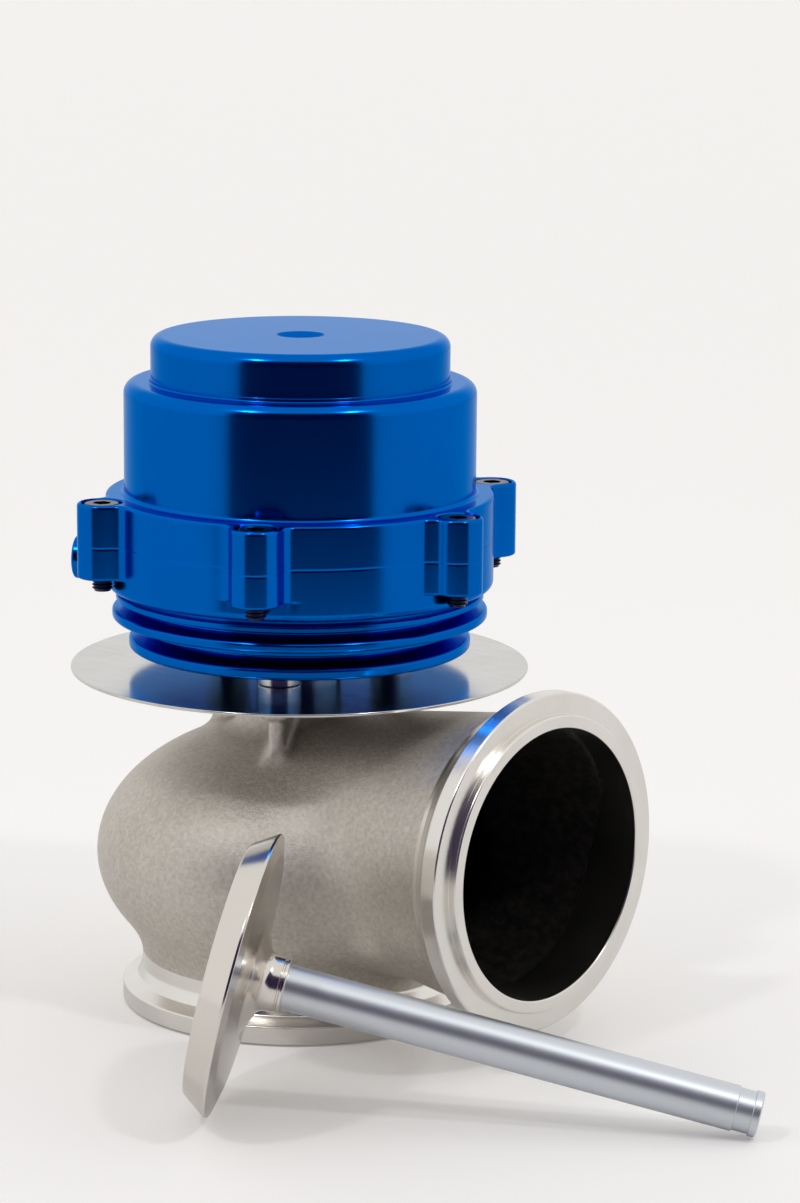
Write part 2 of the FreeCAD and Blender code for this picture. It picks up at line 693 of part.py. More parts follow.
def makeHousing():
    body = newBody("actuator_housing")
    foot = housingFoot
    section = newSketch(body, "section")
    outline(section, [
        ("stem_radius + passage_gap", foot),
        ("foot_radius", foot, "0.9"),
        ("foot_radius", foot + " + foot_lip", "0.8"),
        ("foot_radius - neck_step", foot + " + foot_lip + foot_cone", "1.2"),
        ("foot_radius - neck_step", foot + " + ring_bottom"),
        ("ring_radius", foot + " + ring_bottom", "0.8"),
        ("ring_radius", foot + " + ring_bottom + ring_lip", "0.8"),
        ("ring_radius - neck_step", foot + " + ring_bottom + ring_lip + ring_cone", "1.2"),
        ("ring_radius - neck_step", foot + " + drum_bottom"),
        ("drum_radius", foot + " + drum_bottom", "2.6"),
        ("drum_radius", "joint_level"),
        ("bead_radius + 0.2", "joint_level"),
        ("bead_radius + 0.2", "joint_level - bead_height"),
        ("chamber_radius", "joint_level - bead_height", "0.6"),
        ("chamber_radius", floorTop, "2.5"),
        ("seal_radius + 4", floorTop),
        ("seal_radius + 4", floorTop + " + 2", "0.5"),
        ("seal_radius + fit_gap", floorTop + " + 2"),
        ("seal_radius + fit_gap", floorTop + " + 2 - seal_height - seal_cover_thickness"),
        ("stem_radius + passage_gap", floorTop + " + 2 - seal_height - seal_cover_thickness"),
    ])
    turned(body, section)

    lug = newSketch(body, "lug", "XY_Plane", level="joint_level - lug_drop")
    lugOutline(lug)
    lugPad = padded(body, lug, "lug_drop")
    thread = newSketch(body, "lug_thread", "XY_Plane", level="joint_level")
    circle(thread, "lug_circle", "0", "screw_radius + fit_gap")
    threadHole = pocketed(body, thread, "lug_drop + 1")
    repeated(body, [lugPad, threadHole], "lug_count", "lugs")

    recess = newSketch(body, "screw_recess", "XY_Plane", level=floorTop + " + 1")
    circle(recess, "-post_circle", "0", "screw_head_radius + 0.3")
    recessCut = pocketed(body, recess, "4")
    through = newSketch(body, "screw_hole", "XY_Plane", level=floorTop)
    circle(through, "-post_circle", "0", "base_screw_radius + 0.2")
    throughCut = pocketed(body, through, "floor_thickness + 1")
    repeated(body, [recessCut, throughCut], "post_count", "base_screw_seats")

    for name, angle in (("open_port", 150), ("plugged_port", 210)):
        port = body.newObject("PartDesign::SubtractiveCylinder", name)
        port.AttachmentSupport = [(originFeature(body, "XY_Plane"), "")]
        port.MapMode = "FlatFace"
        port.AttachmentOffset = FreeCAD.Placement(
            FreeCAD.Vector(0, 0, 0), FreeCAD.Rotation(FreeCAD.Vector(0, 0, 1), FreeCAD.Vector(
                math.cos(math.radians(angle)), math.sin(math.radians(angle)), 0)))
        port.setExpression("AttachmentOffset.Base.x", bound("(chamber_radius - 3) * cos(%d)" % angle))
        port.setExpression("AttachmentOffset.Base.y", bound("(chamber_radius - 3) * sin(%d)" % angle))
        port.setExpression("AttachmentOffset.Base.z", bound("joint_level - side_port_drop"))
        port.setExpression("Radius", bound("side_port_radius"))
        port.setExpression("Height", bound("drum_radius - chamber_radius + 6"))
    return body


def makeCap():
    body = newBody("top_cap")
    section = newSketch(body, "section")
    shoulder = "joint_level + cap_shoulder"
    outline(section, [
        ("fold_outer_radius + 0.5", "joint_level"),
        ("drum_radius", "joint_level"),
        ("drum_radius", flangeTop, "0.8"),
        ("cap_radius", flangeTop, "1.6"),
        ("cap_radius", shoulder, "4.7"),
        ("crown_radius", shoulder, "1.5"),
        ("crown_radius", capTop, "2.6"),
        ("port_mouth_radius", capTop),
        ("port_radius", capTop + " - port_mouth_radius + port_radius"),
        ("port_radius", ceiling + " - port_boss_height"),
        ("port_boss_radius", ceiling + " - port_boss_height", "1"),
        ("port_boss_radius", ceiling),
        ("crown_radius - cap_wall", ceiling, "2"),
        ("crown_radius - cap_wall", shoulder + " - cap_wall"),
        ("fold_outer_radius + 0.5", shoulder + " - cap_wall", "3"),
    ])
    turned(body, section)

    lug = newSketch(body, "lug", "XY_Plane", level="joint_level")
    lugOutline(lug)
    lugPad = padded(body, lug, "cap_flange")
    bore = newSketch(body, "lug_bore", "XY_Plane", level=flangeTop)
    circle(bore, "lug_circle", "0", "screw_radius + 0.3")
    boreCut = pocketed(body, bore, "cap_flange + 1")
    sink = newSketch(body, "lug_sink", "XY_Plane", level=flangeTop)
    circle(sink, "lug_circle", "0", "counterbore_radius")
    sinkCut = pocketed(body, sink, "counterbore_depth")
    repeated(body, [lugPad, boreCut, sinkCut], "lug_count", "lugs")
    return body


def makeSidePlug():
    """Hexagon socket plug, drawn along Z from its inner end and laid into the port."""
    inner = "(drum_radius - 7)"
    body = ringPiece("side_port_plug", [
        ("0", inner),
        ("side_port_radius - fit_gap", inner, "0.5"),
        ("side_port_radius - fit_gap", "drum_radius + 1.2"),
        ("side_plug_radius", "drum_radius + 1.2", "0.4"),
        ("side_plug_radius", "side_plug_reach", "0.6"),
        ("0", "side_plug_reach"),
    ])
    socket = newSketch(body, "socket", "XY_Plane", level="side_plug_reach")
    hexagon(socket, "0", "hex_socket")
    pocketed(body, socket, "4")
    outward = FreeCAD.Vector(math.cos(math.radians(210)), math.sin(math.radians(210)), 0)
    turn = FreeCAD.Rotation(FreeCAD.Vector(0, 0, 1), outward)
    body.Placement = FreeCAD.Placement(FreeCAD.Vector(0, 0, 0), turn)
    body.setExpression("Placement.Base.z", bound("joint_level - side_port_drop"))
    return body


# ---------------------------------------------------------------- stem seal and diaphragm stack
def makeSeal():
    foot = floorTop + " + 2 - seal_height - seal_cover_thickness"
    return ringPiece("stem_seal", [
        ("stem_radius + running_gap", foot),
        ("seal_radius", foot, "0.4"),
        ("seal_radius", foot + " + seal_height", "0.4"),
        ("stem_radius + running_gap + 1.4", foot + " + seal_height"),
        ("stem_radius + running_gap + 1.4", foot + " + 1.2", "0.5"),
        ("stem_radius + running_gap", foot + " + seal_height / 2"),
    ])


def makeSealCover():
    foot = floorTop + " + 2 - seal_cover_thickness"
    return ringPiece("seal_cover", [
        ("stem_radius + passage_gap", foot),
        ("seal_radius", foot),
        ("seal_radius", foot + " + seal_cover_thickness", "0.3"),
        ("stem_radius + passage_gap", foot + " + seal_cover_thickness", "0.3"),
    ])


def makeDiaphragm():
    crest = discTop + " + fold_height"
    bead = "joint_level - bead_height + 0.05"
    return ringPiece("diaphragm", [
        ("spigot_thread_radius + 0.2", discBottom),
        ("fold_inner_radius + skin", discBottom, "1.4"),
        ("fold_inner_radius + skin", crest + " - skin", "1"),
        ("fold_outer_radius - skin", crest + " - skin", "1"),
        ("fold_outer_radius - skin", bead),
        ("bead_radius", bead, "0.4"),
        ("bead_radius", "joint_level - 0.02", "0.4"),
        ("fold_outer_radius", "joint_level - 0.02", "0.3"),
        ("fold_outer_radius", crest, "2.2"),
        ("fold_inner_radius", crest, "2.2"),
        ("fold_inner_radius", discTop, "0.2"),
        ("spigot_thread_radius + 0.2", discTop),
    ])


def makeSpringPlate():
    return ringPiece("spring_plate", [
        ("stem_radius + fit_gap", nutBottom + " + 0.4"),
        ("spigot_thread_radius", nutBottom + " + 0.4", "0.4"),
        ("spigot_thread_radius", plateBottom),
        ("plate_radius", plateBottom, "0.6"),
        ("plate_radius", plateTop + " + plate_rim", "0.4"),
        ("plate_radius - 1.2", plateTop + " + plate_rim", "0.4"),
        ("plate_radius - 1.2", plateTop),
        ("hub_radius", plateTop),
        ("hub_radius", hubTop, "0.6"),
        ("keeper_radius - 0.6", hubTop),
        ("keeper_radius - 0.6", keeperTop + " + clip_thickness + face_gap"),
        ("keeper_radius + 0.6", keeperTop + " + clip_thickness + face_gap"),
        ("keeper_radius + 0.6", keeperTop),
        ("keeper_radius + fit_gap", keeperTop),
        ("keeper_radius + fit_gap", keeperBottom),
        ("stem_radius + fit_gap", keeperBottom),
    ])


def makeBackingPlate():
    return ringPiece("backing_plate", [
        ("spigot_thread_radius + fit_gap", backingBottom),
        ("backing_radius", backingBottom, "0.5"),
        ("backing_radius", backingBottom + " + backing_thickness", "0.8"),
        ("spigot_thread_radius + fit_gap", backingBottom + " + backing_thickness"),
    ])


def makePlateNut():
    body = newBody("plate_nut")
    flats = newSketch(body, "flats", "XY_Plane", level=nutBottom)
    hexagon(flats, "0", "nut_radius * sqrt(3)")
    padded(body, flats, "nut_height")
    hole = newSketch(body, "hole", "XY_Plane", level=nutBottom + " + nut_height")
    circle(hole, "0", "0", "spigot_thread_radius + fit_gap")
    pocketed(body, hole, "nut_height + 1")
    return body


def makeKeepers():
    """Split ring in the stem's groove: a turned ring with a narrow slot sawn across it."""
    body = ringPiece("stem_keepers", [
        ("stem_groove_radius + fit_gap", keeperBottom + " + 0.05"),
        ("keeper_radius", keeperBottom + " + 0.05", "0.3"),
        ("keeper_radius", keeperTop + " - 0.05", "0.3"),
        ("stem_groove_radius + fit_gap", keeperTop + " - 0.05"),
    ])
    body.Label = "stem_keeper_ring"
    saw = doc.addObject("Part::Box", "keeper_saw")
    saw.setExpression("Length", bound("3 * keeper_radius"))
    saw.Width = 0.8
    saw.setExpression("Height", bound("stem_groove + 2"))
    saw.setExpression("Placement.Base.x", bound("-1.5 * keeper_radius"))
    saw.setExpression("Placement.Base.y", "-0.4")
    saw.setExpression("Placement.Base.z", bound(keeperBottom + " - 1"))
    halves = doc.addObject("Part::Cut", "stem_keepers_split")
    halves.Base = body
    halves.Tool = saw
    halves.Label = "stem_keepers"
    return halves


def makeClip():
    """Snap ring over the keepers, open by a narrow gap."""
    ring = ringPiece("keeper_clip_ring", [
        ("stem_radius + 0.6", keeperTop + " + face_gap / 2"),
        ("keeper_radius + 0.5", keeperTop + " + face_gap / 2"),
        ("keeper_radius + 0.5", keeperTop + " + face_gap / 2 + clip_thickness"),
        ("stem_radius + 0.6", keeperTop + " + face_gap / 2 + clip_thickness"),
    ])
    gap = doc.addObject("Part::Box", "clip_gap")
    gap.setExpression("Length", bound("2 * keeper_radius"))
    gap.Width = 3
    gap.setExpression("Height", bound("clip_thickness + 3"))
    gap.setExpression("Placement.Base.y", "-1.5")
    gap.setExpression("Placement.Base.z", bound(keeperTop + " - 1"))
    clip = doc.addObject("Part::Cut", "keeper_clip")
    clip.Base = ring
    clip.Tool = gap
    clip.Label = "keeper_clip"
    return clip


# ---------------------------------------------------------------- springs
def makeSpring(name, coil, wire, pitch):
    """A round-wire helix between the spring plate and the cap's ceiling, with both ends ground flat."""
    foot = plateTop + " + face_gap"
    top = ceiling + " - face_gap"
    coilRadius, wireRadius = number(coil), number(wire)
    low, high = number(foot), number(top)
    helix = Part.makeHelix(number(pitch), high - low - wireRadius, coilRadius)
    helix.translate(FreeCAD.Vector(0, 0, low + wireRadius / 2))
    start = FreeCAD.Vector(coilRadius, 0, low + wireRadius / 2)
    section = Part.Wire(Part.makeCircle(wireRadius, start, FreeCAD.Vector(0, 1, 0)))
    rod = Part.Wire(helix.Edges).makePipeShell([section], True, True)
    room = Part.makeCylinder(coilRadius + 2 * wireRadius, high - low, FreeCAD.Vector(0, 0, low))
    spring = doc.addObject("Part::Feature", name)
    spring.Label = name
    spring.Shape = rod.common(room)
    return spring


# ---------------------------------------------------------------- the assembly
pieces = [
    makeValveBody(),
    makeSeat(),
    makeGuide(),
    makeValve(),
    makeShield(),
    makeHousing(),
    makeSeal(),
    makeSealCover(),
    makeDiaphragm(),
    makeBackingPlate(),
    makePlateNut(),
    makeSpringPlate(),
    makeKeepers(),
    makeClip(),
    makeSpring("outer_spring", "outer_coil_radius", "outer_wire_radius", "outer_pitch"),
    makeSpring("middle_spring", "middle_coil_radius", "middle_wire_radius", "middle_pitch"),
    makeSpring("inner_spring", "inner_coil_radius", "inner_wire_radius", "inner_pitch"),
    makeCap(),
    makeSidePlug(),
]
posts = int(number("post_count"))
lugs = int(number("lug_count"))
pieces += [makePost(index) for index in range(posts)]
pieces += [makeBaseScrew(index) for index in range(posts)]
pieces += [makeCapScrew(index) for index in range(lugs)]

# the spare valve rests on its rim and on its tip, so its axis rises from the tip to the head
spare = newBody("spare_valve")
valveSection(spare)
restRadius = number("valve_head_radius")
tipRadius = number("stem_radius")
rimHeight = number("valve_cone + 0.6")
stemRun = number("valve_length") - 0.4 - rimHeight
dip = math.atan2(restRadius - tipRadius, stemRun)
turn = math.radians(number("spare_turn"))
along = FreeCAD.Vector(math.cos(turn) * math.cos(dip), math.sin(turn) * math.cos(dip), -math.sin(dip))
upward = FreeCAD.Vector(math.cos(turn) * math.sin(dip), math.sin(turn) * math.sin(dip), math.cos(dip))
touch = FreeCAD.Vector(number("spare_rim_x"), number("spare_rim_y"), 0)
faceCentre = touch + upward * restRadius - along * rimHeight
spare.Placement = FreeCAD.Placement(faceCentre, FreeCAD.Rotation(FreeCAD.Vector(0, 0, 1), along))
pieces.append(spare)

# ---------------------------------------------------------------- checks and export
doc.recompute()
for item in doc.Objects:
    faults = [state for state in item.State if state in ("Invalid", "Error")]
    if faults:
        raise RuntimeError("%s: %s" % (item.Label, faults))
for piece in pieces:
    if piece.Shape.isNull() or not piece.Shape.isValid() or not piece.Shape.Solids:
        raise RuntimeError("%s has no valid shape" % piece.Label)
os.makedirs("parts", exist_ok=True)
for piece in pieces:
    box = piece.Shape.BoundBox
    print("%-18s solids %d  volume %9.1f  x %.2f %.2f  y %.2f %.2f  z %.2f %.2f" % (
        piece.Label, len(piece.Shape.Solids), piece.Shape.Volume,
        box.XMin, box.XMax, box.YMin, box.YMax, box.ZMin, box.ZMax))
    piece.Shape.exportStep("parts/%s.step" % piece.Label)
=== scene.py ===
import json
import math

import bpy
import numpy as np
from mathutils import Matrix, Vector


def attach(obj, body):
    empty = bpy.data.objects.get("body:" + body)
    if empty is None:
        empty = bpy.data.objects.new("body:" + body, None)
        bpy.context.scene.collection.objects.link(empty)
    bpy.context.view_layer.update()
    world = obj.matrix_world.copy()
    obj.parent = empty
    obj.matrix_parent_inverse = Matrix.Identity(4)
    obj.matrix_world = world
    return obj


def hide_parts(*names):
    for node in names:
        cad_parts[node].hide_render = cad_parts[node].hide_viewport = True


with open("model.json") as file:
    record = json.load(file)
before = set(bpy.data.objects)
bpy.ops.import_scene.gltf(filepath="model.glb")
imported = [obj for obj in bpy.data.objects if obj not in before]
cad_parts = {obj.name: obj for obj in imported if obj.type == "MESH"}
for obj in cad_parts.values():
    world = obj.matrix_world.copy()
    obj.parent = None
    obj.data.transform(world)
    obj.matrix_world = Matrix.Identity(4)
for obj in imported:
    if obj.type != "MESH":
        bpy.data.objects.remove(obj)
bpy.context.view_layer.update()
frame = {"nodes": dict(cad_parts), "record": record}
print("frame loaded:", len(frame["nodes"]), "nodes")
mm = 0.001


# a smooth mesh from points in millimetres, riding on a body and standing for its nodes
def placeMesh(name, points, faces, finish, body=None, nodes=(), record=None, turn=None):
    mesh = bpy.data.meshes.new(name)
    mesh.from_pydata((np.asarray(points, float) * mm).tolist(), [], faces)
    if turn is not None:
        attribute = mesh.attributes.new("turn", "FLOAT_VECTOR", "POINT")
        attribute.data.foreach_set("vector", np.asarray(turn, np.float32).ravel())
    mesh.validate()
    mesh.polygons.foreach_set("use_smooth", [True] * len(mesh.polygons))
    piece = bpy.data.objects.new(name, mesh)
    bpy.context.scene.collection.objects.link(piece)
    piece.data.materials.append(finish)
    if body:
        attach(piece, body)
    if nodes:
        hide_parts(*nodes)
    return piece


# points along straight runs whose corners (x, y, radius) are rounded, with a support near each
def rounded(corners, closed=False, steps=6):
    plainRadius, mostOfEdge = 0.12, 0.46
    corners = [tuple(corner) + (plainRadius,) * (3 - len(corner)) for corner in corners]
    points = []
    count = len(corners)
    for index, (x, y, radius) in enumerate(corners):
        here = np.array((x, y), float)
        end = not closed and index in (0, count - 1)
        if end or radius <= 0:
            points.append(here)
            continue
        back = np.array(corners[index - 1][:2], float) - here
        ahead = np.array(corners[(index + 1) % count][:2], float) - here
        backLength, aheadLength = np.linalg.norm(back), np.linalg.norm(ahead)
        back, ahead = back / backLength, ahead / aheadLength
        half = math.acos(max(-1, min(1, float(back @ ahead)))) / 2
        if half > math.radians(89):
            points.append(here)
            continue
        # the round starts at radius / tan(half the angle) from the corner, if both edges have room for it
        reach = min(radius / math.tan(half), mostOfEdge * backLength, mostOfEdge * aheadLength)
        radius = reach * math.tan(half)
        centre = here + (back + ahead) / np.linalg.norm(back + ahead) * radius / math.sin(half)
        first, last = here + back * reach - centre, here + ahead * reach - centre
        support = min(0.35 * reach + 0.05, 0.03 * min(backLength, aheadLength) + 0.02)
        points.append(here + back * (reach + support))
        sweep = math.atan2(first[0] * last[1] - first[1] * last[0], first @ last)
        for step in range(steps + 1):
            angle = sweep * step / steps
            points.append(centre + np.array((
                first[0] * math.cos(angle) - first[1] * math.sin(angle),
                first[0] * math.sin(angle) + first[1] * math.cos(angle))))
        points.append(here + ahead * (reach + support))
    return np.array(points)


# quads of a grid that closes round its columns, and round its rows where asked
def gridFaces(rows, columns, closeRows=False):
    faces = []
    for row in range(rows if closeRows else rows - 1):
        upper = (row + 1) % rows
        for column in range(columns):
            beside = (column + 1) % columns
            faces.append((row * columns + column, row * columns + beside,
                          upper * columns + beside, upper * columns + column))
    return faces


# one ring about Z for each (radius, height)
def lathePoints(profile, segments):
    angles = np.arange(segments) * 2 * math.pi / segments
    radius, height = profile[:, 0:1], profile[:, 1:2]
    return np.stack([radius * np.cos(angles), radius * np.sin(angles), height + 0 * angles], axis=-1)


# a skin whose first and last rings lie on the axis and shrink to a point each
def cappedSkin(rings):
    segments = rings.shape[1]
    points = np.vstack([rings[1:-1].reshape(-1, 3), rings[0, :1], rings[-1, :1]])
    faces = gridFaces(len(rings) - 2, segments)
    inner = len(points) - 2
    last = inner - segments
    for column in range(segments):
        beside = (column + 1) % segments
        faces.append((beside, column, inner))
        faces.append((last + column, last + beside, inner + 1))
    return points, faces


# a turned piece: the left side of its profile is outside, open ends lie on the axis, place moves the points
def lathe(name, corners, finish, segments=192, place=None, closed=True, steps=6, **where):
    profile = rounded(corners, closed=closed, steps=steps)
    rings = lathePoints(profile, segments)
    turn = np.stack([np.repeat(profile[:, 0], segments), np.repeat(profile[:, 1], segments),
                     np.zeros(len(profile) * segments)], axis=-1)
    if closed:
        points, faces = rings.reshape(-1, 3), gridFaces(len(profile), segments, closeRows=True)
    else:
        points, faces = cappedSkin(rings)
        turn = np.vstack([turn[segments:-segments], turn[:1], turn[-1:]])
    if place is not None:
        points = place(points)
    return placeMesh(name, points, faces, finish, turn=turn, **where)


def shifted(x, y):
    return lambda points: points + np.array((x, y, 0), float)


# turns a piece drawn along Z so that it runs along X at a height
def alongX(height):
    return lambda points: np.stack([points[:, 2], points[:, 1], height - points[:, 0]], axis=-1)


# takes the cutters out of a piece for good, and keeps the cut edges sharp
def cut(piece, cutters):
    for cutter in cutters:
        modifier = piece.modifiers.new("cut", "BOOLEAN")
        modifier.operation = "DIFFERENCE"
        modifier.solver = "EXACT"
        modifier.object = cutter
    graph = bpy.context.evaluated_depsgraph_get()
    mesh = bpy.data.meshes.new_from_object(piece.evaluated_get(graph))
    piece.modifiers.clear()
    piece.data = mesh
    for cutter in cutters:
        bpy.data.objects.remove(cutter)
    mesh.polygons.foreach_set("use_smooth", [True] * len(mesh.polygons))
    mesh.set_sharp_from_angle(angle=math.radians(35))


# a value in a node tree that can be added to and multiplied
class Wire:
    def __init__(self, tree, socket):
        self.tree = tree
        self.socket = socket

    def math(self, operation, other):
        node = self.tree.nodes.new("ShaderNodeMath")
        node.operation = operation
        for slot, value in zip(node.inputs, (self, other)):
            feed(self.tree, slot, value)
        return Wire(self.tree, node.outputs[0])

    def __add__(self, other):
        return self.math("ADD", other)

    def __mul__(self, other):
        return self.math("MULTIPLY", other)


def feed(tree, slot, value):
    if isinstance(value, Wire):
        tree.links.new(value.socket, slot)
    else:
        slot.default_value = value


# one material: node() adds any other node and gives its output as a Wire
class Finish:
    def __init__(self, name, **constants):
        self.material = bpy.data.materials.new(name)
        self.material.use_nodes = True
        self.tree = self.material.node_tree
        self.shader = self.tree.nodes["Principled BSDF"]
        self.set(**constants)

    def set(self, **values):
        for name, value in values.items():
            feed(self.tree, self.shader.inputs[name.replace("_", " ")], value)
        return self

    def node(self, kind, output=0, settings=None, **values):
        node = self.tree.nodes.new("ShaderNode" + kind)
        for name, value in (settings or {}).items():
            setattr(node, name, value)
        for name, value in values.items():
            feed(self.tree, node.inputs[name.replace("_", " ")], value)
        return Wire(self.tree, node.outputs[output])

    def place(self):
        return self.node("TexCoord", output="Object")

    # the piece's own (radius, height) from its turned profile, in millimetres
    def turned(self):
        return self.node("Attribute", output="Vector", settings={"attribute_name": "turn"})

    def noise(self, where, scale, detail=3.0, roughness=0.5):
        return self.node("TexNoise", Vector=where, Scale=scale, Detail=detail, Roughness=roughness)

    def blendColour(self, factor, low, high):
        node = self.tree.nodes.new("ShaderNodeMix")
        node.data_type = "RGBA"
        for index, value in ((0, factor), (6, low), (7, high)):
            feed(self.tree, node.inputs[index], value)
        return Wire(self.tree, node.outputs[2])

    # 0 below low, 1 above high
    def ramp(self, value, low, high):
        node = self.tree.nodes.new("ShaderNodeMapRange")
        node.clamp = True
        for index, entry in ((0, value), (1, low), (2, high)):
            feed(self.tree, node.inputs[index], entry)
        return Wire(self.tree, node.outputs[0])

    # raises the surface by a height of 0 to 1 over a depth in metres
    def bump(self, height, depth):
        return self.set(Normal=self.node("Bump", Height=height, Distance=depth))


def rgba(red, green, blue):
    return (red, green, blue, 1.0)


# radii from the stem axis and heights above the inlet face
housing = {
    "foot": 87.3, "drumBottom": 102.0, "drumRound": 2.6, "lugBottom": 106.6, "lugEdge": 0.5, "neck": 42.4,
    "ring": {"bottom": 94.6, "lip": 96.8, "radius": 45.0, "core": 40.0, "edge": 99.45, "top": 100.9,
             "upper": 44.1},
    "footRing": {"bottom": 87.3, "lip": 89.9, "radius": 41.0, "core": 34.5, "edge": 93.1, "top": 94.5,
                 "upper": 40.4},
    "betweenRings": 39.2, "stemHole": 5.6, "sealPocket": 9.55, "sealFoot": 91.9, "collar": 13.5,
    "collarTop": 96.3, "floorTop": 94.3, "chamber": 36.5, "rimPocket": 41.5, "rimFoot": 112.8,
    "screwHole": 2.55,
}


# bead-blasted stainless casting: warm grey, dull, finely pitted
def castFinish():
    finish = Finish("cast", Metallic=1.0)
    here = finish.place()
    broad = finish.noise(here, 45.0, 3.0)
    fine = finish.noise(here, 900.0, 4.0, 0.6)
    grain = finish.noise(here, 2600.0, 2.0, 0.6)
    tone = finish.ramp(broad * 0.25 + fine * 0.75, 0.34, 0.66)
    finish.set(Base_Color=finish.blendColour(tone, rgba(0.53, 0.49, 0.44), rgba(0.72, 0.675, 0.61)))
    finish.set(Roughness=fine * 0.12 + 0.45)
    return finish.bump(fine * 0.5 + grain * 0.5, 0.00018).material


# the unmachined passage: rough, and coloured near black
def castInsideFinish():
    finish = Finish("castInside", Metallic=0.1, Specular_IOR_Level=0.25)
    here = finish.place()
    lumps = finish.noise(here, 420.0, 5.0, 0.65)
    tone = finish.ramp(lumps, 0.40, 0.66)
    finish.set(Base_Color=finish.blendColour(tone, rgba(0.004, 0.0035, 0.003), rgba(0.022, 0.019, 0.016)))
    finish.set(Roughness=lumps * 0.2 + 0.5)
    return finish.bump(lumps, 0.0006).material


# lathe-turned metal: fine rings that follow the profile, and an edge colour for grazing views
def turnedFinish(name, colour, rough, scale=9.0, depth=0.000012, edge=(1, 1, 1)):
    finish = Finish(name, Metallic=1.0, Specular_Tint=rgba(*edge))
    rings = finish.noise(finish.turned(), scale, 4.0, 0.7)
    patches = finish.ramp(finish.noise(finish.place(), 60.0, 2.0), 0.3, 0.7)
    duller = [0.93 * channel for channel in colour]
    finish.set(Base_Color=finish.blendColour(patches, rgba(*duller), rgba(*colour)))
    finish.set(Roughness=rings * 0.10 + (rough - 0.05))
    return finish.bump(rings, depth).material


def plainFinish(name, colour, rough, metallic=0.0):
    finish = Finish(name, Metallic=metallic, Base_Color=rgba(*colour))
    speckle = finish.noise(finish.place(), 1500.0, 2.0)
    return finish.set(Roughness=speckle * 0.1 + (rough - 0.05)).material


# ground valve: satin blue-grey stem, the head brighter and a little warm, the warmth a painted reflection
def valveFinish():
    finish = Finish("valveSteel", Metallic=1.0)
    parts = finish.node("SeparateXYZ", output="Y", Vector=finish.turned())
    stem = finish.ramp(parts, 15.4, 15.8)
    ground = finish.noise(finish.turned(), 2.2, 3.0, 0.6)
    # head and collar tinted warm: a painted warm reflection on the polished metal
    finish.set(Base_Color=finish.blendColour(stem, rgba(0.78, 0.735, 0.68), rgba(0.70, 0.735, 0.78)))
    finish.set(Roughness=stem * 0.22 + ground * 0.06 + 0.15)
    return finish.bump(ground, 0.000003).material


# screws: steel above; below the lugs, where the thread passes, painted dark-blue shade
def screwFinish():
    finish = Finish("screwSteel", Metallic=1.0)
    height = finish.node("SeparateXYZ", output="Y", Vector=finish.turned())
    # steel above the lugs' bottom; below it the colour is painted dark-blue shade, not the screw's own colour
    above = finish.ramp(height, housing["lugBottom"], housing["lugBottom"] + 1.0)
    finish.set(Base_Color=finish.blendColour(above, rgba(0.03, 0.04, 0.09), rgba(0.82, 0.81, 0.79)))
    worn = finish.noise(finish.turned(), 9.0, 3.0)
    return finish.set(Roughness=worn * 0.1 + 0.2).material


# stainless sheet, brushed along one way and very slightly uneven
def shieldFinish():
    finish = Finish("shieldSheet", Metallic=1.0)
    here = finish.place()
    along = finish.node("Mapping", Vector=here, Scale=(40.0, 2200.0, 40.0), Rotation=(0, 0, 0.9))
    brushed = finish.noise(along, 1.0, 4.0, 0.7)
    smudge = finish.noise(here, 90.0, 3.0)
    tone = finish.ramp(brushed * 0.6 + smudge * 0.4, 0.38, 0.62)
    finish.set(Base_Color=finish.blendColour(tone, rgba(0.60, 0.59, 0.57), rgba(0.71, 0.70, 0.68)))
    finish.set(Roughness=brushed * 0.12 + 0.09)
    return finish.bump(finish.noise(here, 35.0, 1.0), 0.00003).material


finishes = {
    "casting": castFinish(),
    "castInside": castInsideFinish(),
    "machined_steel": turnedFinish("machinedSteel", (0.88, 0.85, 0.80), 0.22),
    "machined_aluminium": turnedFinish("machinedAluminium", (0.78, 0.79, 0.80), 0.28),
    "valve_steel": valveFinish(),
    "shield_steel": shieldFinish(),
    "blue_anodised": turnedFinish("blueAnodised", (0.0, 0.13, 0.57), 0.19, scale=5.0, depth=0.000006,
                                  edge=(0.45, 0.72, 1.0)),
    "screw_steel": screwFinish(),
    "spring_steel": plainFinish("springSteel", (0.30, 0.31, 0.33), 0.35, 1.0),
    "bronze": plainFinish("bronze", (0.55, 0.36, 0.16), 0.35, 1.0),
    "diaphragm_rubber": plainFinish("rubber", (0.05, 0.05, 0.055), 0.7),
    "seal_polymer": plainFinish("sealPolymer", (0.12, 0.10, 0.08), 0.5),
}
for entry in frame["record"]["subparts"]:
    node = frame["nodes"][entry["node"]]
    node.data.materials.clear()
    node.data.materials.append(finishes[entry["material_slot"]])
frame["nodes"]["side_port_plug"].data.materials[0] = finishes["blue_anodised"]
print("finishes:", len(finishes))

# every shell rides on the body that stands still
fixed = {"body": "wastegate_body"}

casting = {
    "foot": 6.5, "bulbRadius": 49.0, "bulbHalfHeight": 32.3, "bulbLevel": 36.9, "wall": 4.0,
    "tubeLevel": 45.3, "tubeRoot": 25.6, "tubeFlare": math.radians(8), "tubeEnd": 70.0, "tubeWall": 3.0,
    "neckRadius": 38.0, "neckTop": 20.0, "throat": 34.5, "tower": 14.3, "towerTop": 81.95,
    "boss": 12.5, "bossFoot": 57.0, "guideHole": 8.05,
    "web": 3.8, "webReach": 27.5, "webTop": 75.0, "post": 5.1, "postCircle": 23.3,
    "webTurns": (180, 60, -60), "tubeStart": -1, "tubeStartBlend": 20, "tubeBlend": 9.0,
    "neckBlend": 5.0, "towerBlend": 5.0, "webBlend": 3.0,
}
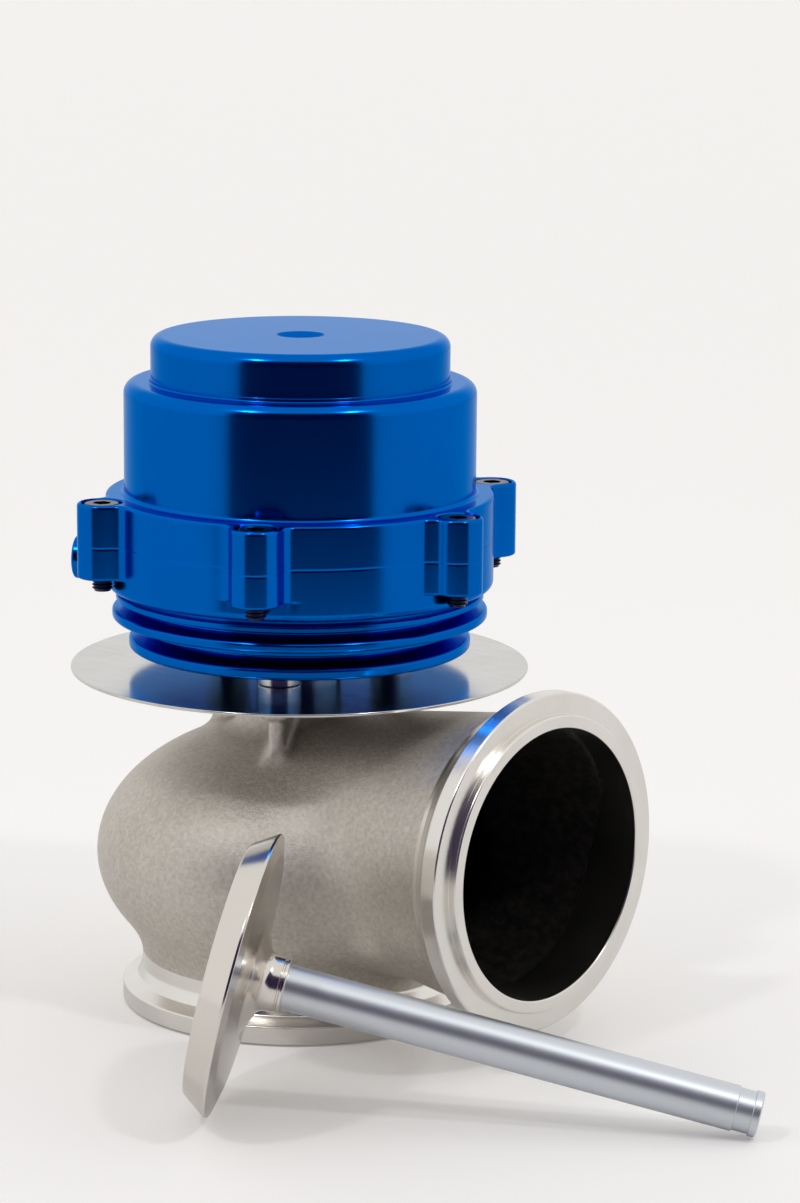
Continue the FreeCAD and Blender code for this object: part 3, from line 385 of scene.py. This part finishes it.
# (start, step) of the net's lines along each axis, finer where the tower and the webs are
castingNet = {
    "x": [(-51, 1.15), (-29, 0.8), (29, 1.15), (71.5, 1)],
    "y": [(-51, 1.15), (-26, 0.8), (26, 1.15), (51, 1)],
    "z": [(5.5, 1.15), (62, 0.7), (84, 1)],
}


# the lesser of two distances, with a rounded valley of that width
def smoothMin(first, second, width):
    share = np.maximum(width - np.abs(first - second), 0) / width
    return np.minimum(first, second) - share * share * width / 4


def smoothMax(first, second, width):
    return -smoothMin(-first, -second, width)


# about shell x (shell - 1) / slope, where shell is 1 on the surface
def ellipsoidDistance(x, y, z, wide, tall):
    shell = np.sqrt((x / wide) ** 2 + (y / wide) ** 2 + (z / tall) ** 2) + 1e-9
    slope = np.sqrt((x / wide ** 2) ** 2 + (y / wide ** 2) ** 2 + (z / tall ** 2) ** 2) + 1e-9
    return shell * (shell - 1) / slope


# (distance from the tube's axis - root radius - x tan(flare)) cos(flare)
def tubeDistance(x, y, z, root):
    c = casting
    across = np.hypot(y, z - c["tubeLevel"])
    return (across - root - x * math.tan(c["tubeFlare"])) * math.cos(c["tubeFlare"])


# signed distance to the outside of the casting: bulb, neck, tube, tower, webs and post pads
def castOutside(x, y, z):
    c = casting
    around = np.hypot(x, y)
    bulb = ellipsoidDistance(x, y, z - c["bulbLevel"], c["bulbRadius"], c["bulbHalfHeight"])
    neck = np.maximum(around - c["neckRadius"], z - c["neckTop"])
    tube = smoothMax(tubeDistance(x, y, z, c["tubeRoot"]), c["tubeStart"] - x, c["tubeStartBlend"])
    tower = np.maximum(around - c["tower"], c["bulbLevel"] - z)
    solid = smoothMin(smoothMin(bulb, tube, c["tubeBlend"]), neck, c["neckBlend"])
    solid = smoothMin(solid, tower, c["towerBlend"])
    for turn in c["webTurns"]:
        angle = math.radians(turn)
        out = x * math.cos(angle) + y * math.sin(angle)
        side = y * math.cos(angle) - x * math.sin(angle)
        web = smoothMax(np.abs(side) - c["web"] / 2, np.abs(out - c["webReach"] / 2) - c["webReach"] / 2, 1.6)
        web = smoothMax(web, np.maximum(z - c["webTop"], c["bulbLevel"] - z), 1.2)
        pad = np.hypot(out - c["postCircle"], side) - c["post"]
        pad = np.maximum(pad, c["webTop"] - z)
        solid = smoothMin(solid, smoothMin(web, pad, 1.5), c["webBlend"])
    return smoothMax(solid, z - c["towerTop"], 0.8)


# signed distance to the passage: throat, chamber and tube, round the guide's boss
def castInside(x, y, z):
    c = casting
    around = np.hypot(x, y)
    chamber = ellipsoidDistance(x, y, z - c["bulbLevel"], c["bulbRadius"] - c["wall"],
                                c["bulbHalfHeight"] - c["wall"])
    tube = np.maximum(tubeDistance(x, y, z, c["tubeRoot"] - c["tubeWall"]), -x)
    throat = np.maximum(around - c["throat"], z - c["bulbLevel"])
    hollow = smoothMin(smoothMin(chamber, tube, 4), throat, 2)
    boss = smoothMax(around - c["boss"], c["bossFoot"] - z, 3)
    hollow = smoothMax(hollow, -boss, 3)
    return np.minimum(hollow, around - c["guideHole"])


def castField(x, y, z):
    solid = np.maximum(castOutside(x, y, z), -castInside(x, y, z))
    solid = np.maximum(solid, casting["foot"] - z)
    return np.maximum(solid, x - casting["tubeEnd"])


# grid lines from (start, step) stops to the last stop
def fineSteps(stops):
    lines = []
    for (start, step), (stop, _) in zip(stops, stops[1:]):
        lines += list(np.arange(start, stop - 0.4 * step, step))
    return np.array(lines + [stops[-1][0]])


# quads over the zero surface of a field: one point in each crossed cell, pulled onto the surface
def netSurface(field, xs, ys, zs):
    grid = np.meshgrid(xs, ys, zs, indexing="ij")
    values = field(*grid)
    inside = values < 0
    shape = tuple(size - 1 for size in values.shape)
    total = np.zeros(shape + (3,))
    count = np.zeros(shape)
    corners = [(i, j, k) for i in (0, 1) for j in (0, 1) for k in (0, 1)]

    def corner(array, offset):
        return array[tuple(slice(o, o + n) for o, n in zip(offset, shape))]

    for first in corners:
        for axis in range(3):
            if first[axis] == 1:
                continue
            second = tuple(1 if index == axis else value for index, value in enumerate(first))
            low, high = corner(values, first), corner(values, second)
            crossed = (low < 0) != (high < 0)
            share = np.where(crossed, low / np.where(crossed, low - high, 1), 0)
            for index in range(3):
                start, end = corner(grid[index], first), corner(grid[index], second)
                total[..., index] += np.where(crossed, start + share * (end - start), 0)
            count += crossed
    used = count > 0
    points = total[used] / count[used][:, None]
    label = -np.ones(shape, int)
    label[used] = np.arange(len(points))
    faces = []
    for axis in range(3):
        others = [index for index in range(3) if index != axis]
        lowEnd = [slice(1, -1)] * 3
        highEnd = [slice(1, -1)] * 3
        lowEnd[axis], highEnd[axis] = slice(0, -1), slice(1, None)
        start, end = inside[tuple(lowEnd)], inside[tuple(highEnd)]
        for leaving in (True, False):
            found = np.argwhere((start != end) & (start == leaving))
            base = found.copy()
            base[:, others[0]] += 1
            base[:, others[1]] += 1
            ring = []
            for a, b in ((0, 0), (-1, 0), (-1, -1), (0, -1)):
                cell = base.copy()
                cell[:, others[0]] += a
                cell[:, others[1]] += b
                ring.append(label[tuple(cell.T)])
            quad = np.stack(ring, axis=-1)
            faces.append(quad if leaving == (axis != 1) else quad[:, ::-1])
    faces = np.vstack(faces)
    # three times: move each point against the slope by level / slope squared
    step, furthest = 0.02, 0.5
    for _ in range(3):
        x, y, z = points.T
        level = field(x, y, z)
        slope = np.stack([field(x + step, y, z) - field(x - step, y, z),
                          field(x, y + step, z) - field(x, y - step, z),
                          field(x, y, z + step) - field(x, y, z - step)], axis=-1) / (2 * step)
        steep = np.maximum((slope ** 2).sum(1), 0.3)
        move = -slope * (level / steep)[:, None]
        points = points + np.clip(move, -furthest, furthest)
    return points, faces.tolist()


def makeCasting():
    points, faces = netSurface(castField, *(fineSteps(castingNet[axis]) for axis in "xyz"))
    piece = placeMesh("castBody", points, faces, finishes["casting"], nodes=["valve_body"], record="casting",
                      **fixed)
    # faces nearer to the passage than to the outside take the darker finish
    piece.data.materials.append(finishes["castInside"])
    middles = np.zeros(len(piece.data.polygons) * 3, np.float32)
    piece.data.polygons.foreach_get("center", middles)
    middles = middles.reshape(-1, 3) / mm
    within = np.abs(castInside(*middles.T)) < np.abs(castOutside(*middles.T))
    piece.data.polygons.foreach_set("material_index", within.astype(np.int32))
    print("casting:", len(points), "points,", len(faces), "quads")


makeCasting()


flanges = {
    "inletRadius": 42.9, "inletLand": 4.3, "inletSlope": 39.3, "inletSlopeTop": 5.9, "inletNeck": 38.15,
    "inletNeckFoot": 8.6, "inletTop": 13.0, "seat": 36.05, "seatTop": 8.2, "throat": 34.6,
    "outletLevel": 46.6, "outletFace": 76.3, "outletRadius": 40.0, "outletLand": 4.0, "outletSlope": 37.6,
    "outletNeck": 36.2, "outletBore": 31.9, "outletEnd": 64.5, "outletEndInner": 33.4, "outletEndOuter": 35.4,
    "pilot": 35.0, "pilotHeight": 1.9,
}


def makeFlanges():
    f = flanges
    common = {"segments": 224, "nodes": ["valve_body"], "record": "casting", **fixed}
    lathe("inletFlange", [
        (f["seat"], 0, 0.3), (f["inletRadius"], 0, 0.5), (f["inletRadius"], f["inletLand"], 0.4),
        (f["inletSlope"], f["inletSlopeTop"], 0.8), (f["inletNeck"], f["inletNeckFoot"], 2.5),
        (f["inletNeck"] - 0.05, f["inletTop"] - 0.5, 0.2), (f["seat"] + 0.55, f["inletTop"], 0.3),
        (f["throat"], f["inletTop"], 0.3), (f["throat"], f["seatTop"], 0.2), (f["seat"], f["seatTop"], 0.2)],
        finishes["machined_steel"], **common)
    face, rim, end = f["outletFace"], f["outletRadius"], f["outletEnd"]
    landEnd, pilotTop = face - f["outletLand"], face + f["pilotHeight"]
    lathe("outletFlange", [
        (f["outletEndInner"], end, 0.3), (f["outletEndOuter"], end + 1.5, 0.3),
        (f["outletNeck"], landEnd - 4.6, 1.5), (f["outletSlope"], landEnd - 2.4, 0.6),
        (rim, landEnd, 0.4), (rim, face, 0.5), (f["pilot"], face, 0.15), (f["pilot"], pilotTop, 0.5),
        (f["outletBore"], pilotTop, 0.4), (f["outletBore"], end, 0.3)],
        finishes["machined_steel"], place=alongX(f["outletLevel"]), **common)
    print("flanges")


makeFlanges()


drum = {"radius": 46.4, "lugCircle": 49.0, "lug": 5.9, "blend": 4.0, "lugs": 6, "joint": 114.3,
        "lugPoints": 22, "blendPoints": 10, "wallPoints": 24}


def swung(vector, angle):
    x, y = vector
    return np.array((x * math.cos(angle) - y * math.sin(angle), x * math.sin(angle) + y * math.cos(angle)))


# the drum's outline with its lugs, as points and outward directions, once round. A blend's centre lies
# radius + blend from the axis and lug + blend from the lug's centre, so the cosine rule gives its turn
def drumOutline():
    d = drum
    bend, reach = d["radius"] + d["blend"], d["lug"] + d["blend"]
    turn = math.acos((bend ** 2 + d["lugCircle"] ** 2 - reach ** 2) / (2 * bend * d["lugCircle"]))
    side = np.array((bend * math.cos(turn), bend * math.sin(turn)))
    tilt = math.atan2(side[1], side[0] - d["lugCircle"])
    points, normals = [], []
    gap = 2 * math.pi / d["lugs"]
    for lug in range(d["lugs"]):
        piece = []
        for angle in np.linspace(-tilt, tilt, d["lugPoints"]):
            normal = np.array((math.cos(angle), math.sin(angle)))
            piece.append((np.array((d["lugCircle"], 0)) + normal * d["lug"], normal))
        for angle in np.linspace(tilt + math.pi, turn + math.pi, d["blendPoints"])[1:]:
            inward = np.array((math.cos(angle), math.sin(angle)))
            piece.append((side + inward * d["blend"], -inward))
        for angle in np.linspace(turn, gap - turn, d["wallPoints"])[1:]:
            normal = np.array((math.cos(angle), math.sin(angle)))
            piece.append((normal * d["radius"], normal))
        mirrored = []
        for angle in np.linspace(turn + math.pi, tilt + math.pi, d["blendPoints"])[1:-1]:
            inward = np.array((math.cos(angle), -math.sin(angle)))
            mirrored.append((side * (1, -1) + inward * d["blend"], -inward))
        for pairs, angle in ((piece, lug * gap), (mirrored, (lug + 1) * gap)):
            points += [swung(point, angle) for point, normal in pairs]
            normals += [swung(normal, angle) for point, normal in pairs]
    return np.array(points), np.array(normals)


outline, outward = drumOutline()
outlineAngles = np.arctan2(outline[:, 1], outline[:, 0])
columns = len(outline)


def circleRow(radius, height):
    return np.stack([radius * np.cos(outlineAngles), radius * np.sin(outlineAngles),
                     np.full(columns, height)], axis=-1)


# the lugged outline moved inward, and nowhere inside a least radius
def outlineRow(inset, height, least=0.0):
    flat = outline - outward * inset
    size = np.linalg.norm(flat, axis=1)
    flat = flat * (np.maximum(size, least) / size)[:, None]
    return np.column_stack([flat, np.full(columns, height)])


# a closed skin through rows of points, each once round the axis
def rowsPiece(name, rows, finish, **where):
    rows = np.array(rows)
    points = rows.reshape(-1, 3)
    turn = np.stack([np.hypot(points[:, 0], points[:, 1]), points[:, 2], 0 * points[:, 0]], axis=-1)
    return placeMesh(name, points, gridFaces(len(rows), columns, closeRows=True), finish, turn=turn, **where)


# (inset, drop) pairs round an edge of that radius, from the wall to the top
def quarter(radius, steps=5):
    angles = np.linspace(0, math.pi / 2, steps + 1)
    return [(radius * (1 - math.cos(angle)), radius * math.sin(angle)) for angle in angles]


# a turned cutter on its own axis from (radius, height) pairs
def drill(name, x, y, stack):
    profile = np.array([(0, stack[0][1])] + stack + [(0, stack[-1][1])], float)
    points, faces = cappedSkin(lathePoints(profile, 48))
    return placeMesh(name, shifted(x, y)(points), faces, finishes["blue_anodised"])


def lugSpots():
    gap = 2 * math.pi / drum["lugs"]
    return [(drum["lugCircle"] * math.cos(k * gap), drum["lugCircle"] * math.sin(k * gap))
            for k in range(drum["lugs"])]


cap = {
    "flangeTop": 124.6, "flangeEdge": 0.8, "flatOuter": 44.4, "flatInner": 44.2, "wall": 42.0,
    "shoulder": 151.4, "crown": 35.6, "crownFoot": 0.35, "top": 162.3,
    "port": 4.3, "mouth": 5.75, "mouthDepth": 1.45, "boss": 9.0, "bossFoot": 152.0,
    "ceiling": 158.0, "crownInside": 31.9, "shoulderInside": 147.7, "inside": 38.4,
    "screwHole": 2.8, "counterbore": 4.95, "counterboreDepth": 5.2, "counterboreEdge": 0.35,
}
# the round of the edges where cap and housing meet
partingRound = 0.03


def makeCap():
    c, joint, top = cap, drum["joint"], cap["flangeTop"]
    foot = c["crown"] + c["crownFoot"]
    rows = [outlineRow(1.0, joint)]
    rows += [outlineRow(inset, joint + partingRound - drop) for inset, drop in quarter(partingRound, 2)[::-1]]
    rows += [outlineRow(0, joint + 0.5), outlineRow(0, top - c["flangeEdge"] - 0.2)]
    rows += [outlineRow(inset, top - c["flangeEdge"] + drop) for inset, drop in quarter(c["flangeEdge"])]
    rows.append(outlineRow(1.0, top, least=c["flatOuter"]))
    profile = rounded([
        (c["flatInner"], top), (c["wall"], top, 1.6), (c["wall"], c["shoulder"], 5.0),
        (foot, c["shoulder"], 0.9), (foot, c["shoulder"] + 0.9, 0.1), (c["crown"], c["shoulder"] + 0.95, 0.1),
        (c["crown"], c["top"], 2.6), (c["mouth"], c["top"], 0.15),
        (c["port"], c["top"] - c["mouthDepth"], 0.1), (c["port"], c["bossFoot"], 0.3),
        (c["boss"], c["bossFoot"], 0.8), (c["boss"], c["ceiling"], 0.5),
        (c["crownInside"], c["ceiling"], 2), (c["crownInside"], c["shoulderInside"], 0.5),
        (c["inside"], c["shoulderInside"], 3), (c["inside"], joint)], steps=8)
    rows += [circleRow(radius, height) for radius, height in profile]
    piece = rowsPiece("capShell", rows, finishes["blue_anodised"],
                      nodes=["top_cap"], record="blue_anodised", **fixed)
    hole, bore, edge = c["screwHole"], c["counterbore"], c["counterboreEdge"]
    seat = top - c["counterboreDepth"]
    stack = [(hole, joint - 1), (hole, seat), (bore, seat), (bore, top - edge), (bore + edge, top),
             (bore + edge, top + 1)]
    cut(piece, [drill("capDrill", x, y, stack) for x, y in lugSpots()])
    print("cap:", len(piece.data.polygons), "faces")


makeCap()


# a cooling ring from its top down: a thin upper lip, a deep wedge-shaped groove, a stout lower lip
def ringCorners(ring):
    middle = (ring["lip"] + ring["edge"]) / 2
    return [(ring["upper"], ring["top"], 0.7), (ring["upper"], ring["edge"], 0.12),
            (ring["core"], middle + 0.25, 0.2), (ring["core"], middle - 0.25, 0.2),
            (ring["radius"], ring["lip"], 0.75), (ring["radius"], ring["bottom"], 0.75)]


def makeHousing():
    h, joint, radius, bottom = housing, drum["joint"], drum["radius"], housing["lugBottom"]
    edge = h["lugEdge"]
    rows = [outlineRow(1.0, joint, least=44)]
    rows += [outlineRow(inset, joint - partingRound + drop) for inset, drop in quarter(partingRound, 2)[::-1]]
    rows += [outlineRow(0, joint - 0.5), outlineRow(0, bottom + edge + 0.2)]
    rows += [outlineRow(inset, bottom + edge - drop, least=radius) for inset, drop in quarter(edge)]
    rows.append(outlineRow(1.5, bottom - 0.01, least=radius))
    profile = rounded([
        (radius, bottom - 0.03), (radius, h["drumBottom"], h["drumRound"]), (h["neck"], h["drumBottom"], 0.1),
        (h["neck"], h["ring"]["top"], 0.1), *ringCorners(h["ring"]),
        (h["betweenRings"], h["ring"]["bottom"], 0.05), (h["betweenRings"], h["footRing"]["top"], 0.05),
        *ringCorners(h["footRing"]), (h["stemHole"], h["foot"], 0.3), (h["stemHole"], h["sealFoot"], 0.1),
        (h["sealPocket"], h["sealFoot"], 0.1), (h["sealPocket"], h["collarTop"], 0.2),
        (h["collar"], h["collarTop"], 0.3), (h["collar"], h["floorTop"], 0.3),
        (h["chamber"], h["floorTop"], 2.5), (h["chamber"], h["rimFoot"], 0.4),
        (h["rimPocket"], h["rimFoot"], 0.2), (h["rimPocket"], joint)], steps=8)
    rows += [circleRow(distance, height) for distance, height in profile]
    piece = rowsPiece("housingShell", rows[::-1], finishes["blue_anodised"],
                      nodes=["actuator_housing"], record="blue_anodised", **fixed)
    hole = h["screwHole"]
    cut(piece, [drill("housingDrill", x, y, [(hole, bottom - 2), (hole, joint + 1)]) for x, y in lugSpots()])
    print("housing:", len(piece.data.polygons), "faces")


makeHousing()


shield = {
    "radius": 55.0, "bottom": 81.95, "top": 82.7, "hole": 10.5,
    "posts": 23.3, "postTurns": (180, -60, 60), "post": 5.1, "postHole": 2.7,
    "spigot": 10.2, "spigotHole": 8.1, "spigotFoot": 80.5, "spigotTop": 87.25,
}


def makeShield():
    s = shield
    lathe("shieldDisc", [(s["hole"], s["bottom"], 0.1), (s["radius"], s["bottom"], 0.25),
                         (s["radius"], s["top"], 0.25), (s["hole"], s["top"], 0.1)],
          finishes["shield_steel"], segments=256, nodes=["heat_shield"], record="shield_steel", **fixed)
    foot, top = s["top"], housing["foot"]
    for index, turn in enumerate(s["postTurns"]):
        angle = math.radians(turn)
        x, y = s["posts"] * math.cos(angle), s["posts"] * math.sin(angle)
        lathe("post%d" % (index + 1), [
            (s["postHole"], foot, 0.1), (s["post"], foot, 0.3), (s["post"], top, 0.3),
            (s["postHole"], top, 0.1)],
            finishes["machined_steel"], segments=64, place=shifted(x, y), record="machined_steel",
            nodes=["standoff_%d" % (index + 1)], **fixed)
    lathe("spigot", [
        (s["spigotHole"], s["spigotFoot"], 0.1), (s["spigot"], s["spigotFoot"], 0.1),
        (s["spigot"], s["spigotTop"], 0.1), (s["spigotHole"], s["spigotTop"], 0.1)],
        finishes["machined_steel"], segments=96, record="casting", nodes=["valve_body"], **fixed)
    print("heat shield and posts")


makeShield()


screw = {"head": 4.25, "headHeight": 5.0, "headRound": 0.45, "socket": 4.0, "socketDepth": 2.6, "shank": 2.46,
         "tip": 1.9, "length": 16.0, "plainLength": 5.0, "pitch": 0.8, "threadDepth": 0.42}


# a six-sided bar, whose corners lie at flats / sqrt(3) from its axis
def hexCutter(x, y, bottom, top, flats):
    corner = flats / math.sqrt(3)
    ring = [(corner * math.cos(k * math.pi / 3), corner * math.sin(k * math.pi / 3)) for k in range(6)]
    points = [(x + a, y + b, z) for z in (bottom, top) for a, b in ring]
    faces = [tuple(range(5, -1, -1)), tuple(range(6, 12))]
    faces += [(k, (k + 1) % 6, (k + 1) % 6 + 6, k + 6) for k in range(6)]
    return placeMesh("hexCutter", points, faces, finishes["screw_steel"])


# crests and roots up a shank, at shares of a pitch
def threadProfile(radius, low, high):
    s = screw
    rows = []
    for turn in range(int((high - low) / s["pitch"])):
        foot = low + turn * s["pitch"]
        rows += [(radius - s["threadDepth"], foot), (radius, foot + 0.35 * s["pitch"]),
                 (radius, foot + 0.5 * s["pitch"]), (radius - s["threadDepth"], foot + 0.85 * s["pitch"])]
    return rows


def makeScrews():
    s = screw
    seat = cap["flangeTop"] - cap["counterboreDepth"]
    tip, top = seat - s["length"], seat + s["headHeight"]
    threadEnd = seat - s["plainLength"]
    thread = threadProfile(s["shank"], tip + 0.4, threadEnd)
    corners = [(0, tip), (s["tip"], tip, 0.1)] + [(radius, height, 0.03) for radius, height in thread]
    corners += [(s["shank"], threadEnd + 0.2, 0.1), (s["shank"], seat, 0.1), (s["head"], seat, 0.2),
                (s["head"], top, s["headRound"]), (0, top)]
    for index, (x, y) in enumerate(lugSpots()):
        piece = lathe("capScrew%d" % (index + 1), corners, finishes["screw_steel"],
                      segments=48, closed=False, steps=3, place=shifted(x, y),
                      record="screw_steel", nodes=["cap_screw_%d" % (index + 1)], **fixed)
        cut(piece, [hexCutter(x, y, top - s["socketDepth"], top + 1, s["socket"])])
    print("screws")


makeScrews()


valve = {"face": 28.6, "rim": 32.4, "cone": 5.6, "land": 6.2, "collar": 6.4, "collarTop": 15.6, "stem": 5.15,
         "length": 123.7, "lip": 1.8, "groove": 3.7, "grooveRadius": 4.8, "back": 27.9, "hollow": 12.5,
         "markFoot": 14.4, "mark": 0.25}


# from the face's centre up to the tip: seat cone, land, hollow back, collar with a turned mark, stem, groove
def valveCorners():
    v = valve
    grooveTop = v["length"] - v["lip"]
    grooveFoot = grooveTop - v["groove"]
    land, collar, stem = v["land"], v["collar"], v["stem"]
    waist, foot = collar - v["mark"], v["markFoot"]
    return [(0, 0), (v["face"], 0, 0.8), (v["rim"], v["cone"], 0.28), (v["rim"], land, 0.25),
            (v["back"], land + 1, 3), (v["hollow"], land + 2, 4.5), (collar, land + 4.8, 3),
            (collar, foot - 0.2, 0.1), (waist, foot, 0.1), (waist, foot + 0.3, 0.1),
            (collar, foot + 0.5, 0.1), (collar, v["collarTop"], 0.3),
            (stem, v["collarTop"], 0.15), (stem, grooveFoot, 0.15), (v["grooveRadius"], grooveFoot, 0.1),
            (v["grooveRadius"], grooveTop, 0.1), (stem, grooveTop, 0.1), (stem, v["length"], 0.45),
            (0, v["length"])]


spare = {"rimX": 45.1, "rimY": -79.1, "turn": 33.4, "tipEdge": 0.4}


# lays a valve drawn along Z on the floor, on its rim and its tip. It dips by the angle whose tangent is
# (rim - stem) / the length between them
def laid(points):
    v, s = valve, spare
    dip = math.atan2(v["rim"] - v["stem"], v["length"] - s["tipEdge"] - v["land"])
    turn = math.radians(s["turn"])
    along = np.array((math.cos(turn) * math.cos(dip), math.sin(turn) * math.cos(dip), -math.sin(dip)))
    upward = np.array((math.cos(turn) * math.sin(dip), math.sin(turn) * math.sin(dip), math.cos(dip)))
    side = np.cross(upward, along)
    face = np.array((s["rimX"], s["rimY"], 0)) + upward * v["rim"] - along * v["land"]
    return face + points[:, 0:1] * side + points[:, 1:2] * upward + points[:, 2:3] * along


def makeSpareValve():
    lathe("spareValve", valveCorners(), finishes["valve_steel"], segments=256, closed=False, place=laid,
          record="valve_steel", nodes=["spare_valve"], **fixed)
    print("spare valve")


makeSpareValve()


# a studio mesh from points in millimetres, which is no piece of the object
def staged(name, points, faces, material):
    mesh = bpy.data.meshes.new(name)
    mesh.from_pydata([tuple(c * mm for c in point) for point in points], [], faces)
    item = bpy.data.objects.new(name, mesh)
    bpy.context.scene.collection.objects.link(item)
    item.data.materials.append(material)
    return item


camera = {"distance": 948.5, "height": 293.8, "bearing": -48.16, "yaw": 1.453, "pitch": 11.676,
          "roll": -0.444, "lens": 120.6}
stage = {"floorHalf": 7000, "floorLevel": -0.4, "floorLift": 0.17, "frontTable": 520, "tableLevel": 0.5,
         "roomRadius": 1350, "roomHalf": 47, "roomHeight": 1500, "skyStrength": 0.85}
lamp = {"turn": 42, "distance": 700, "height": 950, "aim": 90, "size": 75, "power": 1.4}


# a spot at an angle from the camera's bearing, seen from the stem axis
def toward(degrees, distance, height=0.0):
    angle = math.radians(camera["bearing"] + degrees)
    return (distance * math.cos(angle), distance * math.sin(angle), height)


# a staged band between two rows of points, which only mirrors see
def strip(name, lower, upper, material):
    count = len(lower)
    faces = [(k, k + 1, count + k + 1, count + k) for k in range(count - 1)]
    staged(name, lower + upper, faces, material).visible_camera = False


# paper that the camera sees a little whiter than it lights the piece
def floorFinish():
    finish = Finish("floorPaper", Base_Color=rgba(0.86, 0.85, 0.84), Roughness=0.7,
                    Emission_Strength=stage["floorLift"])
    seen = finish.node("LightPath", output="Is Camera Ray")
    return finish.set(Emission_Color=finish.blendColour(seen, rgba(0, 0, 0), rgba(1.0, 0.95, 0.91))).material


# white table and surround; in front, past the table's edge, a dark room
def makeStage():
    s = stage
    half, level = s["floorHalf"], s["floorLevel"]
    staged("floor", [(-half, -half, level), (half, -half, level), (half, half, level), (-half, half, level)],
           [(0, 1, 2, 3)], floorFinish())
    dark = Finish("darkRoom", Base_Color=rgba(0.035, 0.02, 0.085), Roughness=0.9,
                  Specular_IOR_Level=0.0).material
    turns = np.linspace(-s["roomHalf"], s["roomHalf"], 25)
    strip("tableEnd", [toward(turn, s["frontTable"], s["tableLevel"]) for turn in turns],
          [toward(turn, s["roomRadius"], s["tableLevel"]) for turn in turns], dark)
    strip("room", [toward(turn, s["roomRadius"]) for turn in turns],
          [toward(turn, s["roomRadius"], s["roomHeight"]) for turn in turns], dark)
    world = bpy.data.worlds.new("studio")
    bpy.context.scene.world = world
    world.use_nodes = True
    sky = world.node_tree.nodes["Background"]
    sky.inputs["Color"].default_value = rgba(0.99, 0.985, 0.98)
    sky.inputs["Strength"].default_value = s["skyStrength"]


# a square lamp at an angle from the camera, aimed at a height on the stem axis
def softLight(name, turn):
    place, target = Vector(toward(turn, lamp["distance"], lamp["height"])), Vector((0, 0, lamp["aim"]))
    light = bpy.data.lights.new(name, "AREA")
    light.shape = "RECTANGLE"
    light.size = light.size_y = lamp["size"] * mm
    light.energy = lamp["power"]
    item = bpy.data.objects.new(name, light)
    bpy.context.scene.collection.objects.link(item)
    item.location = place * mm
    item.rotation_euler = (target - place).to_track_quat("-Z", "Y").to_euler()


# stands at a bearing round the stem axis and looks almost at it, a little down
def makeCamera():
    c = camera
    bearing = math.radians(c["bearing"])
    yaw, pitch, roll = (math.radians(c[key]) for key in ("yaw", "pitch", "roll"))
    facing = bearing + math.pi - yaw
    level = math.cos(pitch)
    forward = Vector((math.cos(facing) * level, math.sin(facing) * level, -math.sin(pitch)))
    right = Vector((math.sin(facing), -math.cos(facing), 0))
    down = forward.cross(right)
    across = right * math.cos(roll) + down * math.sin(roll)
    below = down * math.cos(roll) - right * math.sin(roll)
    data = bpy.data.cameras.new("camera")
    data.lens, data.sensor_width = c["lens"], 36
    data.clip_start, data.clip_end = 0.05, 20
    item = bpy.data.objects.new("camera", data)
    bpy.context.scene.collection.objects.link(item)
    turn = Matrix((across, -below, -forward)).transposed().to_4x4()
    spot = Vector((c["distance"] * math.cos(bearing), c["distance"] * math.sin(bearing), c["height"])) * mm
    item.matrix_world = Matrix.Translation(spot) @ turn
    bpy.context.scene.camera = item


makeStage()
makeCamera()
softLight("leftLamp", -lamp["turn"])
softLight("rightLamp", lamp["turn"])
bpy.context.scene.view_settings.view_transform = "Standard"
print("stage and camera")
